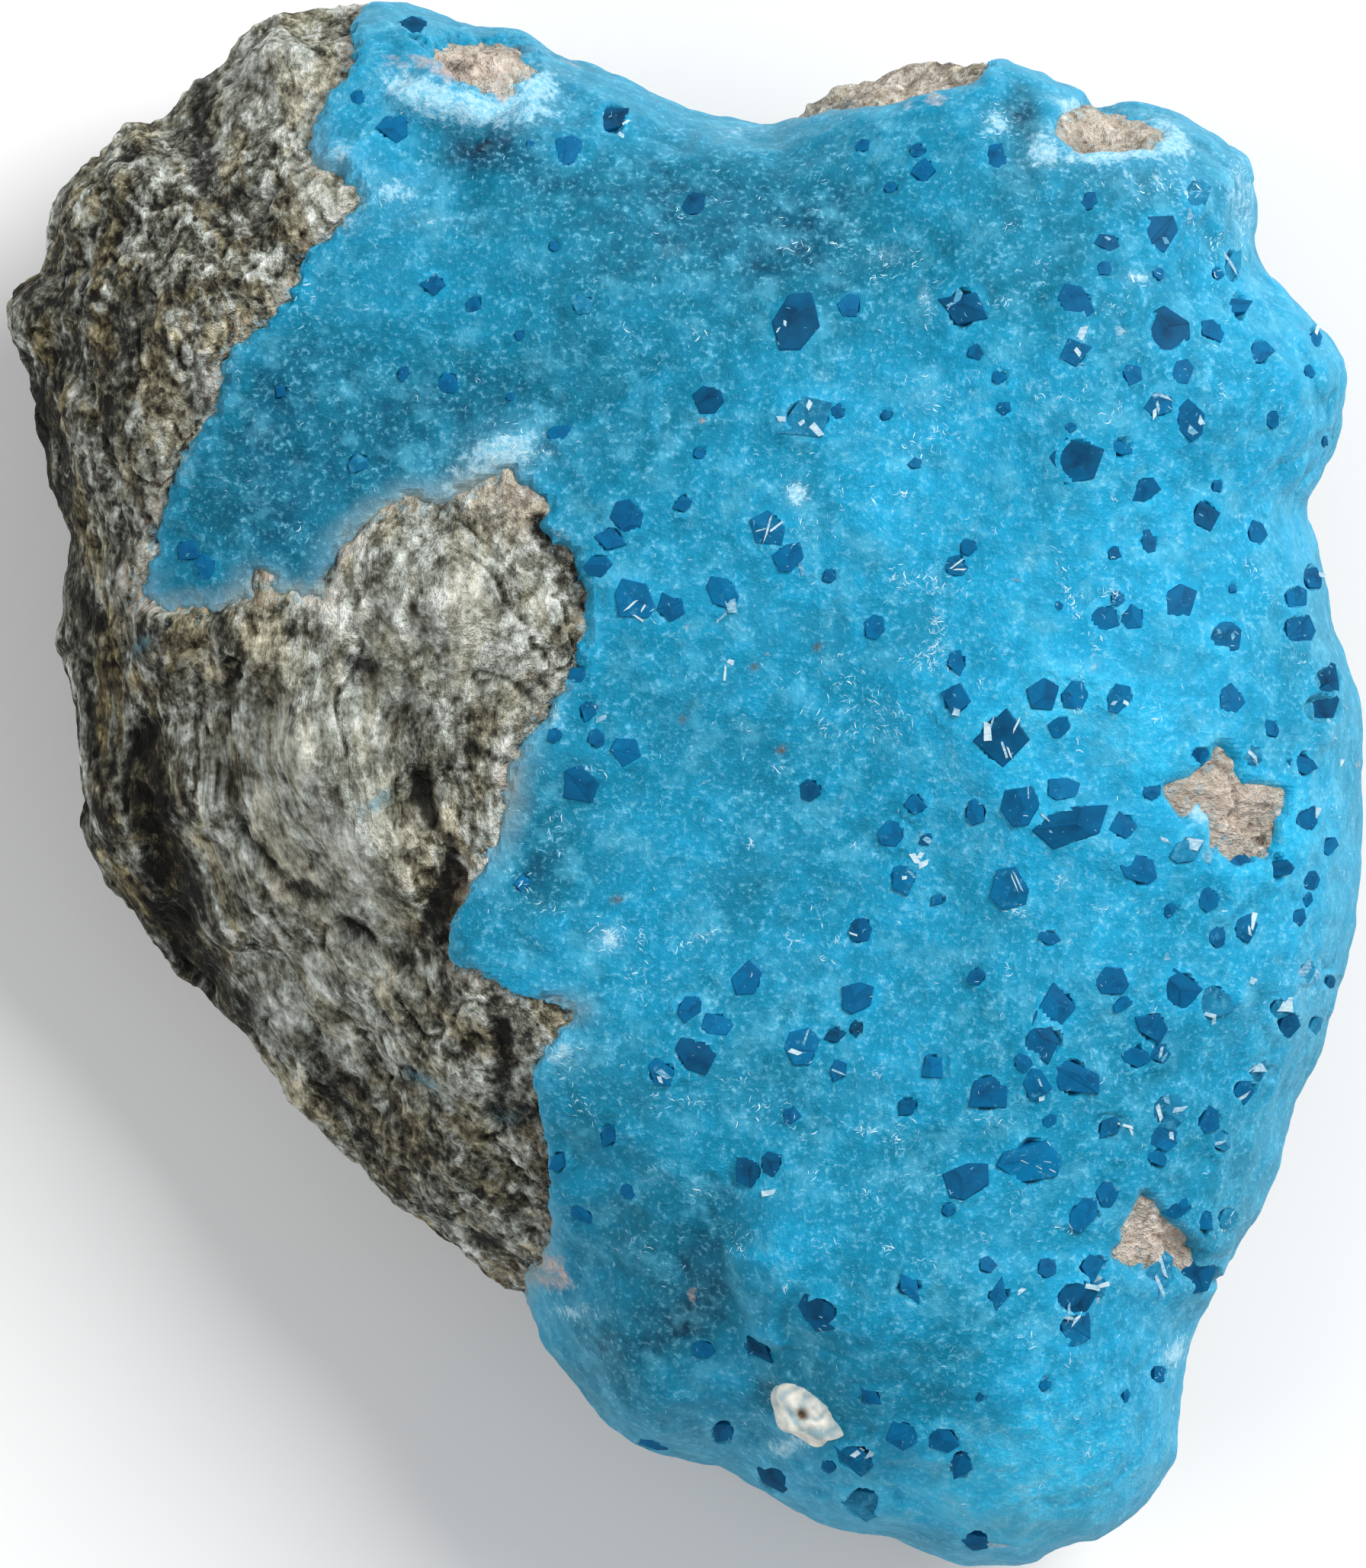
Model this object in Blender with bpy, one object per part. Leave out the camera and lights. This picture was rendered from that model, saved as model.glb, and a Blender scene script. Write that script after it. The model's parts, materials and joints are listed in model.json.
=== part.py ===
"""A blue hemimorphite specimen, lying on its back with the blue face up.

Two solids: the broken host rock, and the blue crust that grew over the right of its face and over its edges,
with angular dark-blue crystals grown into it. The frame is in metres with +Z up. The origin is at the middle
of the underside, +Y is the long way of the heart-shaped face, and the bare rock is at -X.
Lists of places are in millimetres, as (x, y) on the face seen from above.
"""

import math
import random

import bmesh
import bpy
import numpy as np
from mathutils import Matrix, Vector, noise
from mathutils.geometry import delaunay_2d_cdt

MM = 0.001

# Heights of the whole piece: its widest outline lies on the rim.
RIM_HEIGHT = 14.5
FACE_RISE = 15.5
BACK_DROP = 16.0
RIM_WAVE = 3.4

# The face and the back roll over to the rim across these widths.
FACE_SHOULDER = 16.0
SLACK_SHOULDER = 9.0
SLACK_RIM = 3.0
BACK_SHOULDER = 27.0
SHOULDER_POWER = 2.2

# The crust and how it sits on the rock.
GAP = 0.3
CRUST_DEPTH = 4.6
CORE_SHARE = 0.91
BARE_CORE_SHARE = 0.965
CRUST_SKIRT = 6.0
SKIRT_WAVE = 2.2
ROCK_INSET = 0.2

# How far the even roughness of each surface stands up and down.
ROCK_LAYERS = 0.8
ROCK_GRIT = 0.7
CRUST_WAVES = 0.5
CRUST_GRAIN = 0.22
BACK_LUMPS = 1.9
BACK_GRIT = 1.0
CRAG_DEPTH = 1.3
CRAG_SCALE = 7.5
CRAG_LEVEL = 0.45
CRAG_FADE = 3.0

# The share of its relief that a surface keeps where it meets the rim.
RELIEF_AT_RIM = 0.35

# Noise of each kind, as the spacing of its bumps and its seed.
RIM_NOISE = (19.0, 9.0)
ROCK_NOISE = (3.6, 2.0)
WAVE_NOISE = (9.0, 5.0)
GRAIN_NOISE = (3.4, 7.0)
BACK_NOISE = (13.0, 3.0)
BACK_GRIT_NOISE = (6.0, 6.0)
SKIRT_NOISE = (14.0, 8.0)

# The layers of the rock: how far apart across and along them, and their seed.
LAYER_WIDTH = 4.2
LAYER_LENGTH = 11.0
LAYER_SEED = 4.0

# The cutters, which reach well past the piece.
CUTTER_REACH = 62.0
CUTTER_TOP = 45.0
REACH_STEPS = 26
SCAR_LOW = 2.0
SCAR_TOP = 50.0
MOST_SHELL = 1.8

# Spacing of the facets.
ROCK_FACET = 2.7
CRUST_FACET = 3.3
BACK_FACET = 5.8
CORE_FACET = 7.5
COLUMN_FACET = 7.0
COARSE_SHARE = 2.4
RIM_ROWS = (0.5, 1.8, 3.7)
BACK_ROWS = (1.4, 4.4)
CORE_ROWS = (1.8,)

# Dark-blue crystals. A cut's distance is in shares of the crystal's size, and the turns are in radians.
CRYSTAL_RISE = 0.34
CRYSTAL_CUTS = 4
NEAREST_CUT = 0.47
FARTHEST_CUT = 0.58
CRYSTAL_FIT = 1.12
MOST_LEAN = 0.35
MOST_TURN = 0.5

# The widest outline, counter-clockwise from the top.
OUTLINE = [
    (-17, 46.2), (-20, 45.8), (-21.5, 45.7), (-24, 45.5), (-26.6, 44.4), (-27.4, 42.3), (-29.5, 41),
    (-30.9, 39.2), (-32.8, 39), (-35.8, 35.9), (-37, 34), (-38, 30.7), (-40, 28.7), (-40.1, 27.1),
    (-38.6, 24.9), (-38.1, 21.1), (-37.3, 17.4), (-36.1, 14.7), (-36.4, 11.7), (-36.9, 8.5),
    (-36.2, 3.6), (-36, 0), (-35.8, -3.4), (-33.2, -7), (-31.5, -9.5), (-30.1, -11.7), (-28.3, -12.1),
    (-25.5, -15.2), (-23.8, -18.7), (-21.7, -20.4), (-19, -22.6), (-16, -25.7), (-12.1, -28.6),
    (-9.1, -30.6), (-8, -33.2), (-6.3, -35.2), (-4.6, -37.8), (-2.8, -39.2), (0, -39.9), (2.3, -40.1),
    (5.5, -42.5), (7.4, -43.5), (10.6, -44.4), (12.2, -44.5), (16, -46), (20.5, -46.2), (22.6, -45),
    (24.5, -44.7), (27, -42.8), (29, -39.9), (29.5, -36), (30.3, -32.1), (32, -28.5), (34.1, -24.9),
    (35.4, -21.8), (36, -19), (37.5, -16.4), (38.2, -13.8), (39, -11.2), (39.9, -7.4), (40.1, -3.5),
    (40.1, 2), (40.2, 4.9), (39.4, 6.9), (38.5, 9.4), (38, 12.4), (37.3, 15.1), (36.6, 16.3),
    (37.8, 17.8), (38.7, 20.4), (39.1, 23.5), (39.2, 24.8), (38.5, 26.2), (36, 28.9), (33.8, 31.3),
    (33.8, 33), (34, 36), (33.4, 37.3), (30.7, 38.8), (27.6, 39.9), (24.2, 40.2), (21.2, 42),
    (17.6, 43.1), (14, 42.6), (10.2, 41.7), (7.9, 40.1), (5, 38.9), (1.3, 39.6), (-2, 40.9),
    (-5, 42.4), (-7.4, 42.8), (-9.4, 44.4), (-12.4, 44.8), (-15.4, 45.7),
]

# Corners well outside the outline that close the contact line into a loop around the bare rock.
PAST_BARE_ROCK = [(-14, -34), (-60, -34), (-60, 52), (-18.5, 52)]

# Where the crust ends against the bare rock, from the top edge down to the lower left edge.
CONTACT = [
    (-18.5, 46.1), (-19.4, 44.4), (-19, 42.4), (-20.8, 40.4), (-21.9, 37.5), (-22, 36.3), (-20.5, 36.1),
    (-19.1, 35), (-19, 34), (-20.8, 32), (-22, 31.1), (-23.2, 28.4), (-25.5, 26.6), (-26.8, 24.6),
    (-27.4, 22), (-29.3, 19.3), (-30.6, 16.1), (-31.4, 13.1), (-32.4, 10.9), (-30, 9.9), (-27, 10),
    (-25.2, 11), (-24.7, 12.3), (-24, 10.6), (-21, 10.8), (-20.4, 13.6), (-17.9, 15.4), (-15.9, 16.7),
    (-13.4, 15.9), (-12.4, 17.3), (-10.1, 18.3), (-8, 16.6), (-8.3, 15.2), (-6.4, 13.5), (-5.4, 11.1),
    (-6.2, 7.5), (-8, 4), (-10.2, 1.4), (-10.6, -1.5), (-11.8, -5), (-13.3, -8.1), (-13.4, -10.1),
    (-11.6, -11.2), (-9, -12.4), (-5.6, -13.2), (-7.5, -14.4), (-8.7, -16), (-8.3, -18.4), (-7.8, -21.5),
    (-7.3, -25.5), (-8.2, -27.5), (-9.2, -28.5), (-9.4, -30.4),
]

# Places inside the crust where the rock shows: two scars, a knob at each top corner and the top ridge.
STAR_SCAR = [
    (32.1, 1), (32.3, -0.2), (34.8, -0.8), (34.3, -3.8), (32, -3.6), (30.4, -0.8), (29.3, -1.2),
    (28.6, -0.2), (30.3, 0.1), (31.4, 1.6),
]
LOWER_SCAR = [
    (27, -24.3), (28.7, -26.2), (29.9, -27.4), (29.6, -28.8), (27.8, -27.5), (25.5, -27.3), (26.4, -25.5),
]
LEFT_KNOB_SCAR = [
    (-15.2, 42.6), (-13, 41.2), (-10.2, 41.1), (-8.9, 42), (-10, 43.2), (-13.2, 43.5),
]
RIGHT_KNOB_SCAR = [
    (22, 38.6), (23.6, 37.6), (26, 37.7), (27.6, 38.6), (26.4, 39.2), (23.4, 39.4),
]
TOP_RIDGE = [
    (7.6, 39.6), (11, 40), (14.5, 40.6), (17.4, 41.2), (18.4, 44.5), (13.5, 45), (9, 43.5), (6.8, 41.5),
]
SCARS = (STAR_SCAR, LOWER_SCAR, LEFT_KNOB_SCAR, RIGHT_KNOB_SCAR, TOP_RIDGE)

# Swells and hollows that rock and crust share: x, y, half width, half height, turn in degrees, rise.
SHARED_SWELLS = [
    (22, 6, 15, 22, 0, 2.2),
    (16, -30, 13, 12, 0, 1.8),
    (-1, 11, 7, 10, 10, 1.1),
    (9, -6, 7, 8, 0, -1.0),
    (25, 37, 5, 2.4, 10, 1.3),
    (-12.5, 42, 5, 1.9, 0, 1.9),
    (-12, 37.5, 8, 2, -5, -0.9),
    (12, 33, 12, 5, 0, -0.7),
    (-30, -10, 11, 20, 35, -4.5),
    (-20, -22, 14, 7, -45, -1.5),
    (-31, 24, 7, 9, 0, 1.4),
    (-36, 30, 5, 7, 20, -2.0),
    (-26, 41, 6, 5, 0, -1.2),
    (-22, 19, 7, 8, 30, -1.2),
    (-10, -24, 3, 6, 0, -0.8),
    (7.7, -37, 2.2, 2.6, 0, 0.9),
    (32, -33, 5, 9, 20, -1.2),
]

# Swells of the bare rock alone.
ROCK_SWELLS = [
    (-22, 2, 3.6, 6.5, 8, 3.0),
    (-18.2, -5, 2.2, 4.5, 15, 1.2),
    (-12.8, 9.8, 5.5, 5.0, -30, 2.6),
    (-13.3, -2.5, 1.5, 2.0, 0, 1.1),
    (-33, 8, 3, 9, -8, 1.5),
    (-28, 16, 3.2, 7, -20, 1.6),
    (-30, 26.5, 6, 4, 25, 1.8),
    (-38, 28, 3, 2.6, 0, 1.0),
    (-24, 42, 3, 2.4, 0, 1.3),
    (-23.5, 36.5, 3, 2, 0, 1.0),
    (-21, 34.4, 2.2, 1.4, 0, 1.5),
    (-24.6, 30.6, 3, 1.6, 30, 0.9),
    (-31.5, 35.5, 3, 3, 45, 1.3),
    (-24.5, -13, 3, 4, 40, 1.7),
    (-13.5, -16.5, 4, 3.4, -20, 1.6),
    (-14, -22.5, 3.5, 2.6, -45, 1.2),
    (-20, -17, 2.6, 2.2, 0, -1.0),
]

# Swells of the crust alone: bulges at its edge and lobes on its face.
CRUST_SWELLS = [
    (-11, -11, 3.4, 2.6, 0, 0.9),
    (-3, -19, 5, 5, 0, 0.6),
    (3, -8, 6, 5, 0, 0.5),
    (28, 24, 6, 5, 30, 0.8),
    (6, 18, 6, 5, 0, 0.7),
    (18, -14, 6, 5, 0, 0.7),
    (-2, 31, 8, 5, 10, 0.6),
    (36, 8, 3, 4, 0, 0.8),
    (36.4, -12, 2.6, 3.4, 0, 0.9),
    (10, -31, 5, 4, 0, 0.8),
    (-15, 33, 4, 4, 0, -0.5),
]

# Grooves cut into the bare rock: width, depth and the line they follow.
ROCK_GROOVES = [
    (1.9, 2.6, [(-31.6, 2), (-30.6, -3), (-30, -8), (-29, -12)]),
    (1.5, 2.2, [(-26.5, 7), (-26.8, 0), (-24.5, -4.5), (-21, -7.5), (-16.8, -10.5)]),
    (1.2, 1.6, [(-28.5, 41), (-28, 35.5), (-26, 32.5), (-22.5, 31.2)]),
    (1.1, 1.5, [(-40, 30), (-35, 31.3), (-30, 31.5)]),
    (1.0, 1.3, [(-24, 37.5), (-23.5, 35.5), (-24.5, 34)]),
    (1.3, 1.4, [(-14.8, -8.5), (-13.8, -5), (-15.2, -1), (-16.5, 3), (-19, 7)]),
    (1.2, 1.5, [(-22, -15), (-20, -19.5), (-16, -22)]),
    (1.0, 1.2, [(-10.6, -14), (-10.4, -18), (-11.5, -22), (-12.5, -26)]),
]
# Grooves between the crust's swells.
CRUST_GROOVES = [
    (1.7, 1.7, [(2.4, -23), (1.5, -27), (0.5, -30), (3.6, -33.5)]),
    (1.2, 0.7, [(-9, 20.8), (-5, 22.8), (-1, 24.6)]),
    (1.3, 0.7, [(5.5, -35), (4.5, -38)]),
    (1.4, 0.7, [(17.5, 38.5), (20.7, 39.4)]),
]

# Dark-blue crystals that show from a step away: x, y, width, height.
CRYSTALS = [
    (-15.8, 44, 1.8, 1.8), (-16.9, 38.5, 2.0, 1.6), (-6.7, 37.2, 1.6, 2.2), (-4, 39.2, 1.7, 2.6),
    (6.6, 27.3, 2.9, 3.4), (16.2, 28, 2.4, 2.5), (7.3, 21.6, 3.4, 2.4), (1.5, 22.5, 1.8, 1.8),
    (23.1, 19, 2.8, 3.0), (27.1, 17.3, 1.4, 1.8), (30.6, 15.8, 1.8, 2.0), (5, 15, 1.8, 2.2),
    (6.4, 13.2, 1.9, 1.6), (-3.3, 15.8, 2.0, 1.8), (-4.4, 14, 1.8, 1.4), (-2.8, 10.8, 2.3, 2.5),
    (2.4, 11.2, 1.6, 2.0), (28, 32.4, 1.9, 2.2), (30.2, 34.7, 1.6, 2.1), (32.3, 30.5, 1.2, 2.4),
    (32.7, 27.6, 1.2, 2.0), (23, 28.3, 2.4, 1.7), (28.4, 26.6, 2.6, 3.0), (22.9, 25.2, 1.8, 1.6),
    (33.9, 25.2, 1.3, 1.9), (29.8, 21.2, 1.8, 2.2), (18.4, 36.8, 1.3, 1.8), (29, 10.8, 1.8, 2.2),
    (24.4, 9.8, 2.0, 1.6), (36.2, 9, 2.4, 1.8), (36, 11.2, 1.8, 1.6), (31.8, 8.6, 2.2, 1.8),
    (37.6, 6.4, 2.2, 1.8), (37.4, 4.2, 3.0, 2.3), (32.1, 5, 1.8, 1.6), (25.5, 5.3, 1.9, 1.4),
    (22.9, 5.4, 1.8, 1.6), (20.8, 5.6, 1.8, 1.9), (16, 5, 1.7, 2.0), (18.7, 2.5, 3.3, 3.2),
    (19.5, -1.4, 2.5, 2.4), (23, -2.5, 4.2, 2.5), (22.2, -0.1, 1.9, 1.4), (12.9, -5.4, 1.9, 1.4),
    (19.2, -6.1, 2.4, 2.2), (26.9, -5, 1.5, 2.2), (29.4, -3.9, 1.4, 1.9), (34.7, -5.4, 1.4, 2.0),
    (36.6, -2, 2.1, 1.6), (36.3, 1.2, 1.2, 1.9), (10.2, -12.2, 1.9, 1.9), (7, -15.3, 2.0, 2.4),
    (22.2, -12.7, 2.3, 1.9), (20.8, -15, 2.8, 1.9), (23, -17.2, 1.8, 2.7), (17.8, -18.1, 2.3, 2.7),
    (20.5, -17.7, 1.6, 2.0), (25.3, -11.4, 1.6, 2.0), (29, -11.9, 2.3, 2.6), (31.5, -12.6, 1.8, 2.4),
    (27.5, -14.1, 1.6, 2.0), (33, -18, 1.8, 1.4), (28.3, -18.6, 2.0, 1.7), (28.2, -20.8, 1.8, 1.6),
    (31, -19.7, 1.8, 1.3), (19.9, -22.2, 3.2, 3.1), (16.4, -23.4, 2.7, 2.1), (23.4, -25.1, 2.3, 1.5),
    (30.4, -25.4, 1.4, 1.8), (30.9, -29.7, 2.2, 1.6), (23, -29.9, 2.8, 2.2), (23.2, -32, 2.2, 1.4),
    (36, -11.4, 1.8, 1.6), (35.7, -14.3, 1.8, 1.8), (2.4, -14.2, 1.8, 1.2), (0.8, -15.9, 2.6, 1.9),
    (-1.5, -17, 1.8, 1.3), (3.8, -11.2, 2.0, 1.6), (3.8, -22.6, 1.9, 1.7), (-4.3, -20.5, 1.2, 1.8),
    (-7, -22.2, 1.2, 1.8), (4.4, -33, 2.0, 1.2), (8, -30.8, 2.7, 1.9), (13.2, -29.3, 1.9, 1.1),
    (18.5, -29.6, 1.9, 1.1), (12.9, -38, 1.9, 1.7), (15.6, -38.8, 2.4, 2.3), (2.4, -38, 1.5, 2.0),
    (10.1, -39.6, 2.5, 1.6), (5.6, -40.6, 1.9, 1.9), (10.6, -42.2, 2.5, 2.2), (-6, 0, 2.0, 1.9),
    (-3.3, 2, 1.9, 1.5),
]


def clear_scene():
    for item in list(bpy.data.objects):
        bpy.data.objects.remove(item)


def principled(name, colour, roughness, coat=0.0):
    material = bpy.data.materials.new(name)
    material.use_nodes = True
    shader = material.node_tree.nodes["Principled BSDF"]
    shader.inputs["Base Color"].default_value = (*colour, 1)
    shader.inputs["Roughness"].default_value = roughness
    shader.inputs["Metallic"].default_value = 0.0
    shader.inputs["Coat Weight"].default_value = coat
    material.diffuse_color = (*colour, 1)
    return material


def edge_distance(points, line, closed=True):
    """How far each point is from a line of straight stretches."""
    points = np.asarray(points, float)[:, None, :]
    line = np.asarray(line, float)
    starts = line if closed else line[:-1]
    ends = np.roll(line, -1, axis=0) if closed else line[1:]
    along = ends - starts
    share = ((points - starts) * along).sum(-1) / (along * along).sum(-1)
    nearest = starts + np.clip(share, 0, 1)[..., None] * along
    return np.linalg.norm(points - nearest, axis=-1).min(axis=1)


def inside(points, outline):
    """Whether each point is within a closed outline, by the even-odd rule."""
    x, y = np.asarray(points, float).T[..., None]
    x1, y1 = np.asarray(outline, float).T
    x2, y2 = np.roll(x1, -1), np.roll(y1, -1)
    crossed = (y1 > y) != (y2 > y)
    slope = (x2 - x1) / np.where(y2 == y1, 1e-9, y2 - y1)
    return (crossed & (x < x1 + (y - y1) * slope)).sum(axis=1) % 2 == 1


def moved_out(outline, distance):
    """A counter-clockwise outline with each corner moved out across its two edges, or in if negative."""
    moved = []
    for before, here, after in zip(outline[-1:] + outline[:-1], outline, outline[1:] + outline[:1]):
        first = (Vector(here) - Vector(before)).normalized()
        second = (Vector(after) - Vector(here)).normalized()
        out = Vector((first.y + second.y, -first.x - second.x)).normalized()
        moved.append(tuple(Vector(here) + out * distance))
    return moved


def swelling(points, swells):
    """The summed rise of soft bumps, each an ellipse that fades outwards."""
    x, y = np.asarray(points, float).T
    rise = np.zeros(len(x))
    for middle_x, middle_y, half_width, half_height, turn, peak in swells:
        angle = math.radians(turn)
        across = (x - middle_x) * math.cos(angle) + (y - middle_y) * math.sin(angle)
        along = (y - middle_y) * math.cos(angle) - (x - middle_x) * math.sin(angle)
        rise += peak * np.exp(-((across / half_width) ** 2) - (along / half_height) ** 2)
    return rise


def grooving(points, grooves):
    """How deep a set of grooves lies at each point."""
    depth = np.zeros(len(points))
    for width, deepest, line in grooves:
        distance = edge_distance(points, line, closed=False)
        depth = np.maximum(depth, deepest * np.exp(-((distance / width) ** 2)))
    return depth


def roughness(points, scale, seed, octaves=2):
    """Even noise in about -1 to 1 whose bumps are scale apart."""
    spots = [Vector((x / scale, y / scale, seed)) for x, y in points]
    return np.array([noise.fractal(spot, 0.9, 2.0, octaves) for spot in spots])


def foliation(points):
    """Sharp-crested layers in the rock that run down the face and swing to the lower right."""
    ridges = []
    for x, y in points:
        swing = 0.55 + 0.5 * math.tanh((-y - 2) / 14)
        across = (x * math.cos(swing) + y * math.sin(swing)) / LAYER_WIDTH
        along = (y * math.cos(swing) - x * math.sin(swing)) / LAYER_LENGTH
        ridges.append(1 - 2 * abs(noise.noise(Vector((across, along, LAYER_SEED)))))
    return np.array(ridges)


def shoulder(distance, width):
    """From 0 at the rim to 1 where the rounded shoulder meets the face."""
    share = 1 - np.clip(distance / width, 0, 1)
    return (1 - share**SHOULDER_POWER) ** (1 / SHOULDER_POWER)


def slackness(points):
    """How much of the slack, far-falling shoulder of the lower left rock a point has."""
    x, y = np.asarray(points, float).T
    return 1 / (1 + np.exp((x + 0.75 * y + 24) / 5))


def rim_height(points):
    return RIM_HEIGHT + RIM_WAVE * roughness(points, *RIM_NOISE) - SLACK_RIM * slackness(points)


def face_base(points, outline):
    """The smooth domed form that the relief of the face stands on."""
    width = FACE_SHOULDER + SLACK_SHOULDER * slackness(points)
    rise = shoulder(edge_distance(points, outline), width)
    top = RIM_HEIGHT + FACE_RISE
    rim = rim_height(points)
    return rim + (top - rim) * rise, rise


def relief_share(rise):
    return RELIEF_AT_RIM + (1 - RELIEF_AT_RIM) * rise


def rock_face(points, outline=OUTLINE):
    base, rise = face_base(points, outline)
    relief = swelling(points, SHARED_SWELLS + ROCK_SWELLS) - grooving(points, ROCK_GROOVES)
    relief += ROCK_LAYERS * foliation(points) + ROCK_GRIT * roughness(points, *ROCK_NOISE) - ROCK_INSET
    return base + relief * relief_share(rise)


def crust_face(points, outline=OUTLINE):
    base, rise = face_base(points, outline)
    relief = swelling(points, SHARED_SWELLS + CRUST_SWELLS) - grooving(points, CRUST_GROOVES)
    relief += CRUST_WAVES * roughness(points, *WAVE_NOISE) + CRUST_GRAIN * roughness(points, *GRAIN_NOISE)
    return base + relief * relief_share(rise)


def core_face(points, outline):
    """The rock under the crust: the domed form again, lower by the crust's depth."""
    return face_base(points, outline)[0] - CRUST_DEPTH


def back(points, outline):
    """The rounded back, worn flat where it rests."""
    drop = shoulder(edge_distance(points, outline), BACK_SHOULDER)
    lumps = BACK_LUMPS * roughness(points, *BACK_NOISE) + BACK_GRIT * roughness(points, *BACK_GRIT_NOISE)
    rim = rim_height(points)
    return np.maximum(rim + (RIM_HEIGHT - BACK_DROP - rim + lumps) * drop, 0)


def loose_grid(outline, spacing, seed):
    """Points in staggered rows over an outline, each moved a little from its place."""
    draw = random.Random(seed)
    low = np.min(outline, axis=0)
    high = np.max(outline, axis=0)
    rows = int((high[1] - low[1]) / (spacing * 0.866))
    columns = int((high[0] - low[0]) / spacing) + 1
    points = []
    for row in range(rows + 1):
        for column in range(columns + 1):
            x = low[0] + (column + 0.5 * (row % 2)) * spacing + draw.uniform(-0.22, 0.22) * spacing
            y = low[1] + row * spacing * 0.866 + draw.uniform(-0.22, 0.22) * spacing
            points.append((x, y))
    return points


def filling(outline, rows, spacing, seed, dense=None):
    """Points inside an outline: rows that follow its edge, then a loose grid, coarser where it may be."""
    kept = []
    for distance in rows:
        ring = moved_out(outline, -distance)
        kept += [spot for spot, far in zip(ring, edge_distance(ring, outline)) if far > 0.75 * distance]
    least = (rows[-1] if rows else 0) + 0.55 * spacing
    grid = loose_grid(outline, spacing, seed)
    if dense is not None:
        coarse = loose_grid(outline, COARSE_SHARE * spacing, seed + 1)
        fine_spots = [spot for spot, near in zip(grid, dense(grid)) if near]
        coarse_spots = [spot for spot, near in zip(coarse, dense(coarse)) if not near]
        grid = fine_spots + coarse_spots
    far = edge_distance(grid, outline)
    within = inside(grid, outline)
    kept = [spot for spot, fits in zip(kept, inside(kept, outline)) if fits] if kept else []
    return kept + [spot for spot, ok, d in zip(grid, within, far) if ok and d > least]


def triangles(outline, inner):
    """Triangles over an outline and its inner points, counter-clockwise, as indices into both joined."""
    spots = [Vector(point) for point in list(outline) + list(inner)]
    result = delaunay_2d_cdt(spots, [], [list(range(len(outline)))], 1, 1e-6)
    source = [origins[0] for origins in result[3]]
    return [[source[corner] for corner in face] for face in result[2]]


def add_surface(shape, rim, outline, inner, heights, facing_up):
    """Adds a triangulated sheet to a bmesh, on rim vertices that it already has."""
    corners = list(rim)
    for (x, y), z in zip(inner, heights):
        corners.append(shape.verts.new((x * MM, y * MM, z * MM)))
    for face in triangles(outline, inner):
        order = face if facing_up else face[::-1]
        shape.faces.new([corners[index] for index in order])


def finished(name, shape):
    """A mesh object from a bmesh, with its faces turned out."""
    bmesh.ops.recalc_face_normals(shape, faces=shape.faces)
    mesh = bpy.data.meshes.new(name)
    shape.to_mesh(mesh)
    shape.free()
    item = bpy.data.objects.new(name, mesh)
    bpy.context.collection.objects.link(item)
    return item


def lump(name, outline, face, facet, rows, back_rows, seed, dense=None):
    """A closed body: a face sheet and a back sheet that meet on the rim."""
    shape = bmesh.new()
    rims = rim_height(outline)
    rim = [shape.verts.new((x * MM, y * MM, z * MM)) for (x, y), z in zip(outline, rims)]
    front = filling(outline, rows, facet, seed, dense)
    add_surface(shape, rim, outline, front, face(front, outline), True)
    behind = filling(outline, back_rows, BACK_FACET, seed + 5)
    add_surface(shape, rim, outline, behind, back(behind, outline), False)
    return finished(name, shape)


def weathered(item):
    """Breaks up a rock's smooth sides: hollows pressed in along its faces, fading out towards the rim."""
    shape = bmesh.new()
    shape.from_mesh(item.data)
    shape.normal_update()
    spots = [(vert.co.x / MM, vert.co.y / MM) for vert in shape.verts]
    moves = []
    for vert, rim in zip(shape.verts, rim_height(spots)):
        spot = vert.co / MM
        crag = noise.fractal(spot / CRAG_SCALE, 0.8, 2.1, 3) - CRAG_LEVEL
        fade = min(abs(spot.z - rim) / CRAG_FADE, 1) * (spot.z > 0.01)
        moves.append(vert.normal * crag * CRAG_DEPTH * fade * MM)
    for vert, move in zip(shape.verts, moves):
        vert.co += move
        vert.co.z = max(vert.co.z, 0)
    shape.to_mesh(item.data)
    shape.free()
    return item


def column(name, outline, low, high):
    """An upright prism over an outline, with a flat or waved underside."""
    shape = bmesh.new()
    inner = filling(outline, (), COLUMN_FACET, 3)
    bottoms = [shape.verts.new((x * MM, y * MM, z * MM)) for (x, y), z in zip(outline, low(outline))]
    tops = [shape.verts.new((x * MM, y * MM, high * MM)) for x, y in outline]
    add_surface(shape, bottoms, outline, inner, low(inner) if inner else [], False)
    shape.faces.new(tops)
    for index in range(len(outline)):
        after = (index + 1) % len(outline)
        shape.faces.new((bottoms[index], bottoms[after], tops[after], tops[index]))
    return finished(name, shape)


def hidden(item):
    item.hide_render = True
    item.display_type = "WIRE"
    return item


def combine(item, operation, other):
    """One Boolean step, applied at once so that the next one starts from a plain mesh."""
    step = item.modifiers.new(operation.lower(), "BOOLEAN")
    step.operation = operation
    step.solver = "EXACT"
    step.object = other
    bpy.context.view_layer.update()
    graph = bpy.context.evaluated_depsgraph_get()
    mesh = bpy.data.meshes.new_from_object(item.evaluated_get(graph))
    item.modifiers.clear()
    item.data = mesh
    bpy.data.objects.remove(other)


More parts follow.
